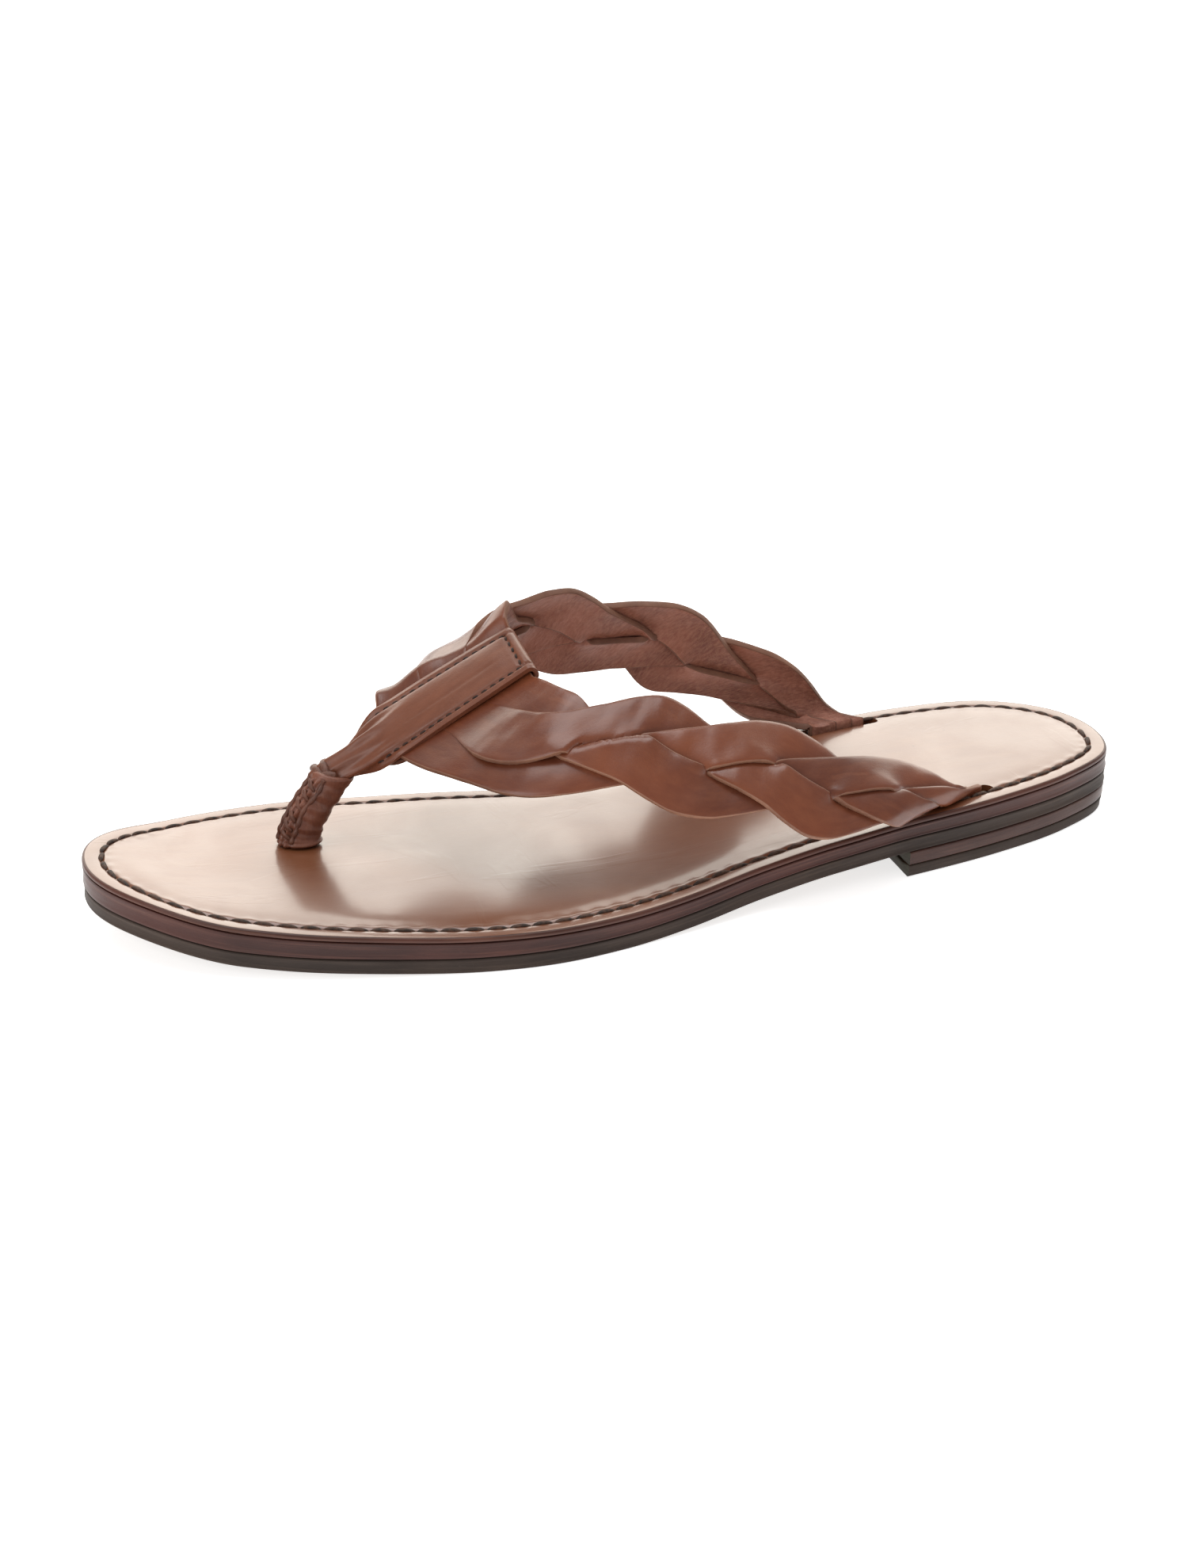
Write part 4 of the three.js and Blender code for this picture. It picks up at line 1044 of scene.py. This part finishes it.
LACE, LACE_UP = 0.6, (0.6, 0.8, 0.2)  # radius of the lace, and its flat side
LACE_TURNS, LACE_FROM, LACE_PITCH, LACE_REACH = 6, 0.08, 0.13, 0.15
KNOT_SINK, KNOT_AHEAD = 3.1, 0.9  # the knot's middle, from the bar's nose
KNOT_BANDS = ((0.14, 3.55, -0.3), (-0.1, 3.8, 1.6))  # tilt, radius, and place along the bar


def swelling(x, power):
    return np.sin(math.pi * x) ** power


def lacing():
    """Short turns over the seam of the sleeve, and the two welts beside them."""
    tubes = []
    q = np.linspace(0, 1, 16)
    for i in range(LACE_TURNS):
        start = LACE_FROM + LACE_PITCH * i
        line = [on_sleeve(start + LACE_REACH * x, 0.1 + 0.75 * x, 0.5 * swelling(x, 0.6) - 0.15) for x in q]
        tubes.append(tube(line, LACE * (0.4 + 0.6 * swelling(q, 0.5)), 10, 0.6, LACE_UP))
    q = np.linspace(0.04, 0.95, 60)
    for angle, lift in ((-0.1, 0.12), (0.98, 0.0)):
        line = [on_sleeve(x, angle + 0.07 * math.sin(13 * x + 5 * angle), lift) for x in q]
        tubes.append(tube(line, LACE + 0.12 * np.sin(q * 43), 10, 0.8, LACE_UP))
    return tubes


def knot():
    """Two bands round the gathered end of the bar, and the strand that crosses them."""
    along, across, normal = bar_axes(1)
    middle = BAR_NOSE - normal * KNOT_SINK + along * KNOT_AHEAD
    tubes = []
    a = np.linspace(-2.9, 2.9, 64)
    for tilt, r, shift in KNOT_BANDS:
        line = [middle + along * (shift + tilt * 4 * math.sin(x)) + across * math.sin(x) * r * 0.92
                + normal * math.cos(x) * r for x in a]
        tubes.append(tube(line, 0.72 + 0.06 * np.sin(a * 4), 12, 1.45, along))
    q = np.linspace(0, 1, 20)
    line = [middle + along * (-2.0 + 4.6 * x) + across * (3.3 - 2.2 * x)
            + normal * (2.8 + 0.9 * math.sin(math.pi * x)) for x in q]
    tubes.append(tube(line, 0.95 * (0.55 + 0.45 * swelling(q, 0.5)), 12, 0.7, normal))
    return tubes


many_tubes("toe_post_lace", lacing() + knot(), lace_look, "toe_post_lacing")

CORE = (3.6, 2.3)  # half sizes of the strip inside the sleeve, front to back and across
CORE_END = 10.5  # height where the strip leaves the line of the post
FOOT_MIDDLE, FOOT_HALF = (71.0, -17.6), (9.7, 5.2)
FOOT_SINK = 1.2  # of the foot's middle, under the outsole's upper face
FOOT_ROWS = ((0.9, 0.0), (0.7, 0.15), (-0.7, 0.15), (-0.9, 0.0))  # height, and growth of the outline


def post_core():
    """The strip inside the post, and its flat foot under the midsole."""
    corner = np.stack([np.cos(AROUND[::4]), np.sin(AROUND[::4])], 1)
    level = float(outsole_top(POST_AT[0])) - FOOT_SINK
    line = [post_middle[i] for i in range(14, POST_ROWS, 7)]
    line += [np.array([*POST_AT, CORE_END]), np.array([*POST_AT, level + 1.0])]
    strip = [p + np.column_stack([corner * CORE, np.zeros(len(corner))]) for p in line]
    foot = []
    for dz, grow in FOOT_ROWS:
        square = np.sign(corner) * np.abs(corner) ** 0.25 * (np.array(FOOT_HALF) + grow)
        foot.append(np.column_stack([square + FOOT_MIDDLE, np.full(len(corner), level + dz)]))
    return [strip, foot]


core_look = leather("post_core_leather", rgb(58, 32, 24), rgb(38, 22, 17), rgb(82, 50, 38),
                    rough=0.6, coat=0.0, grain=0.12)
many_tubes("toe_post_strip", post_core(), core_look, "toe_post_core")

# ---- CAD nodes that stay
steel = steel_look()
for name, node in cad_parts.items():
    if node.hide_render:
        continue
    node.data.materials.clear()
    node.data.materials.append(steel.material)

# ---- floor, light and camera
floor_look = Look("studio_floor", Roughness=0.9, Specular_IOR_Level=0.0)
floor_look.set("Base Color", (0.86, 0.86, 0.86, 1))
floor_look.set("Emission Color", (1, 1, 1, 1))
floor_look.set("Emission Strength", 0.72)
FLOOR_HALF = 6000
corners = [(x * FLOOR_HALF, y * FLOOR_HALF, 0) for x, y in ((-1, -1), (1, -1), (1, 1), (-1, 1))]
floor = piece("studio_floor", corners, [(0, 1, 2, 3)], [floor_look])

world = bpy.data.worlds.new("studio")
world.use_nodes = True
world.node_tree.nodes["Background"].inputs["Color"].default_value = (1.0, 1.0, 1.0, 1)
world.node_tree.nodes["Background"].inputs["Strength"].default_value = 0.32
bpy.context.scene.world = world

# In metres from here on.
CAMERA_AT, LENS, SENSOR = Vector((0.27558, 0.68610, 0.33125)), 76.2, 36.0
AZIMUTH, ELEVATION = math.radians(21.29), math.radians(22.73)
away = Vector((-math.sin(AZIMUTH), -math.cos(AZIMUTH), 0))
right = Vector((away.y, -away.x, 0))
look = away * math.cos(ELEVATION) - Vector((0, 0, math.sin(ELEVATION)))


def soft_light(name, place, target, size, power, colour=(1, 1, 1)):
    data = bpy.data.lights.new(name, "AREA")
    data.shape, data.size, data.size_y, data.energy = "RECTANGLE", size[0], size[1], power
    data.color = colour
    ob = bpy.data.objects.new(name, data)
    ob.location = place
    ob.rotation_euler = (Vector(target) - Vector(place)).to_track_quat("-Z", "Y").to_euler()
    bpy.context.scene.collection.objects.link(ob)


soft_light("backdrop", away * 1.6 + Vector((0, 0, 0.85)), (0, 0, 0.1), (3.2, 1.2), 34, (1, 0.95, 0.85))
soft_light("overhead", away * 0.1 + Vector((0, 0, 1.5)), (0, 0, 0), (1.3, 1.0), 13)
soft_light("front_left", away * -1.1 - right * 0.9 + Vector((0, 0, 0.8)), (0, 0, 0.03), (1.0, 0.8), 7)

camera = bpy.data.objects.new("camera", bpy.data.cameras.new("camera"))
camera.data.lens, camera.data.sensor_width = LENS, SENSOR
camera.data.sensor_fit = "AUTO"
camera.data.clip_start, camera.data.clip_end = 0.05, 50
camera.location = CAMERA_AT
camera.rotation_euler = look.to_track_quat("-Z", "Y").to_euler()
scene = bpy.context.scene
scene.collection.objects.link(camera)
scene.camera = camera
scene.view_settings.view_transform = "Standard"
scene.view_settings.look = "None"
scene.view_settings.exposure = 0.0
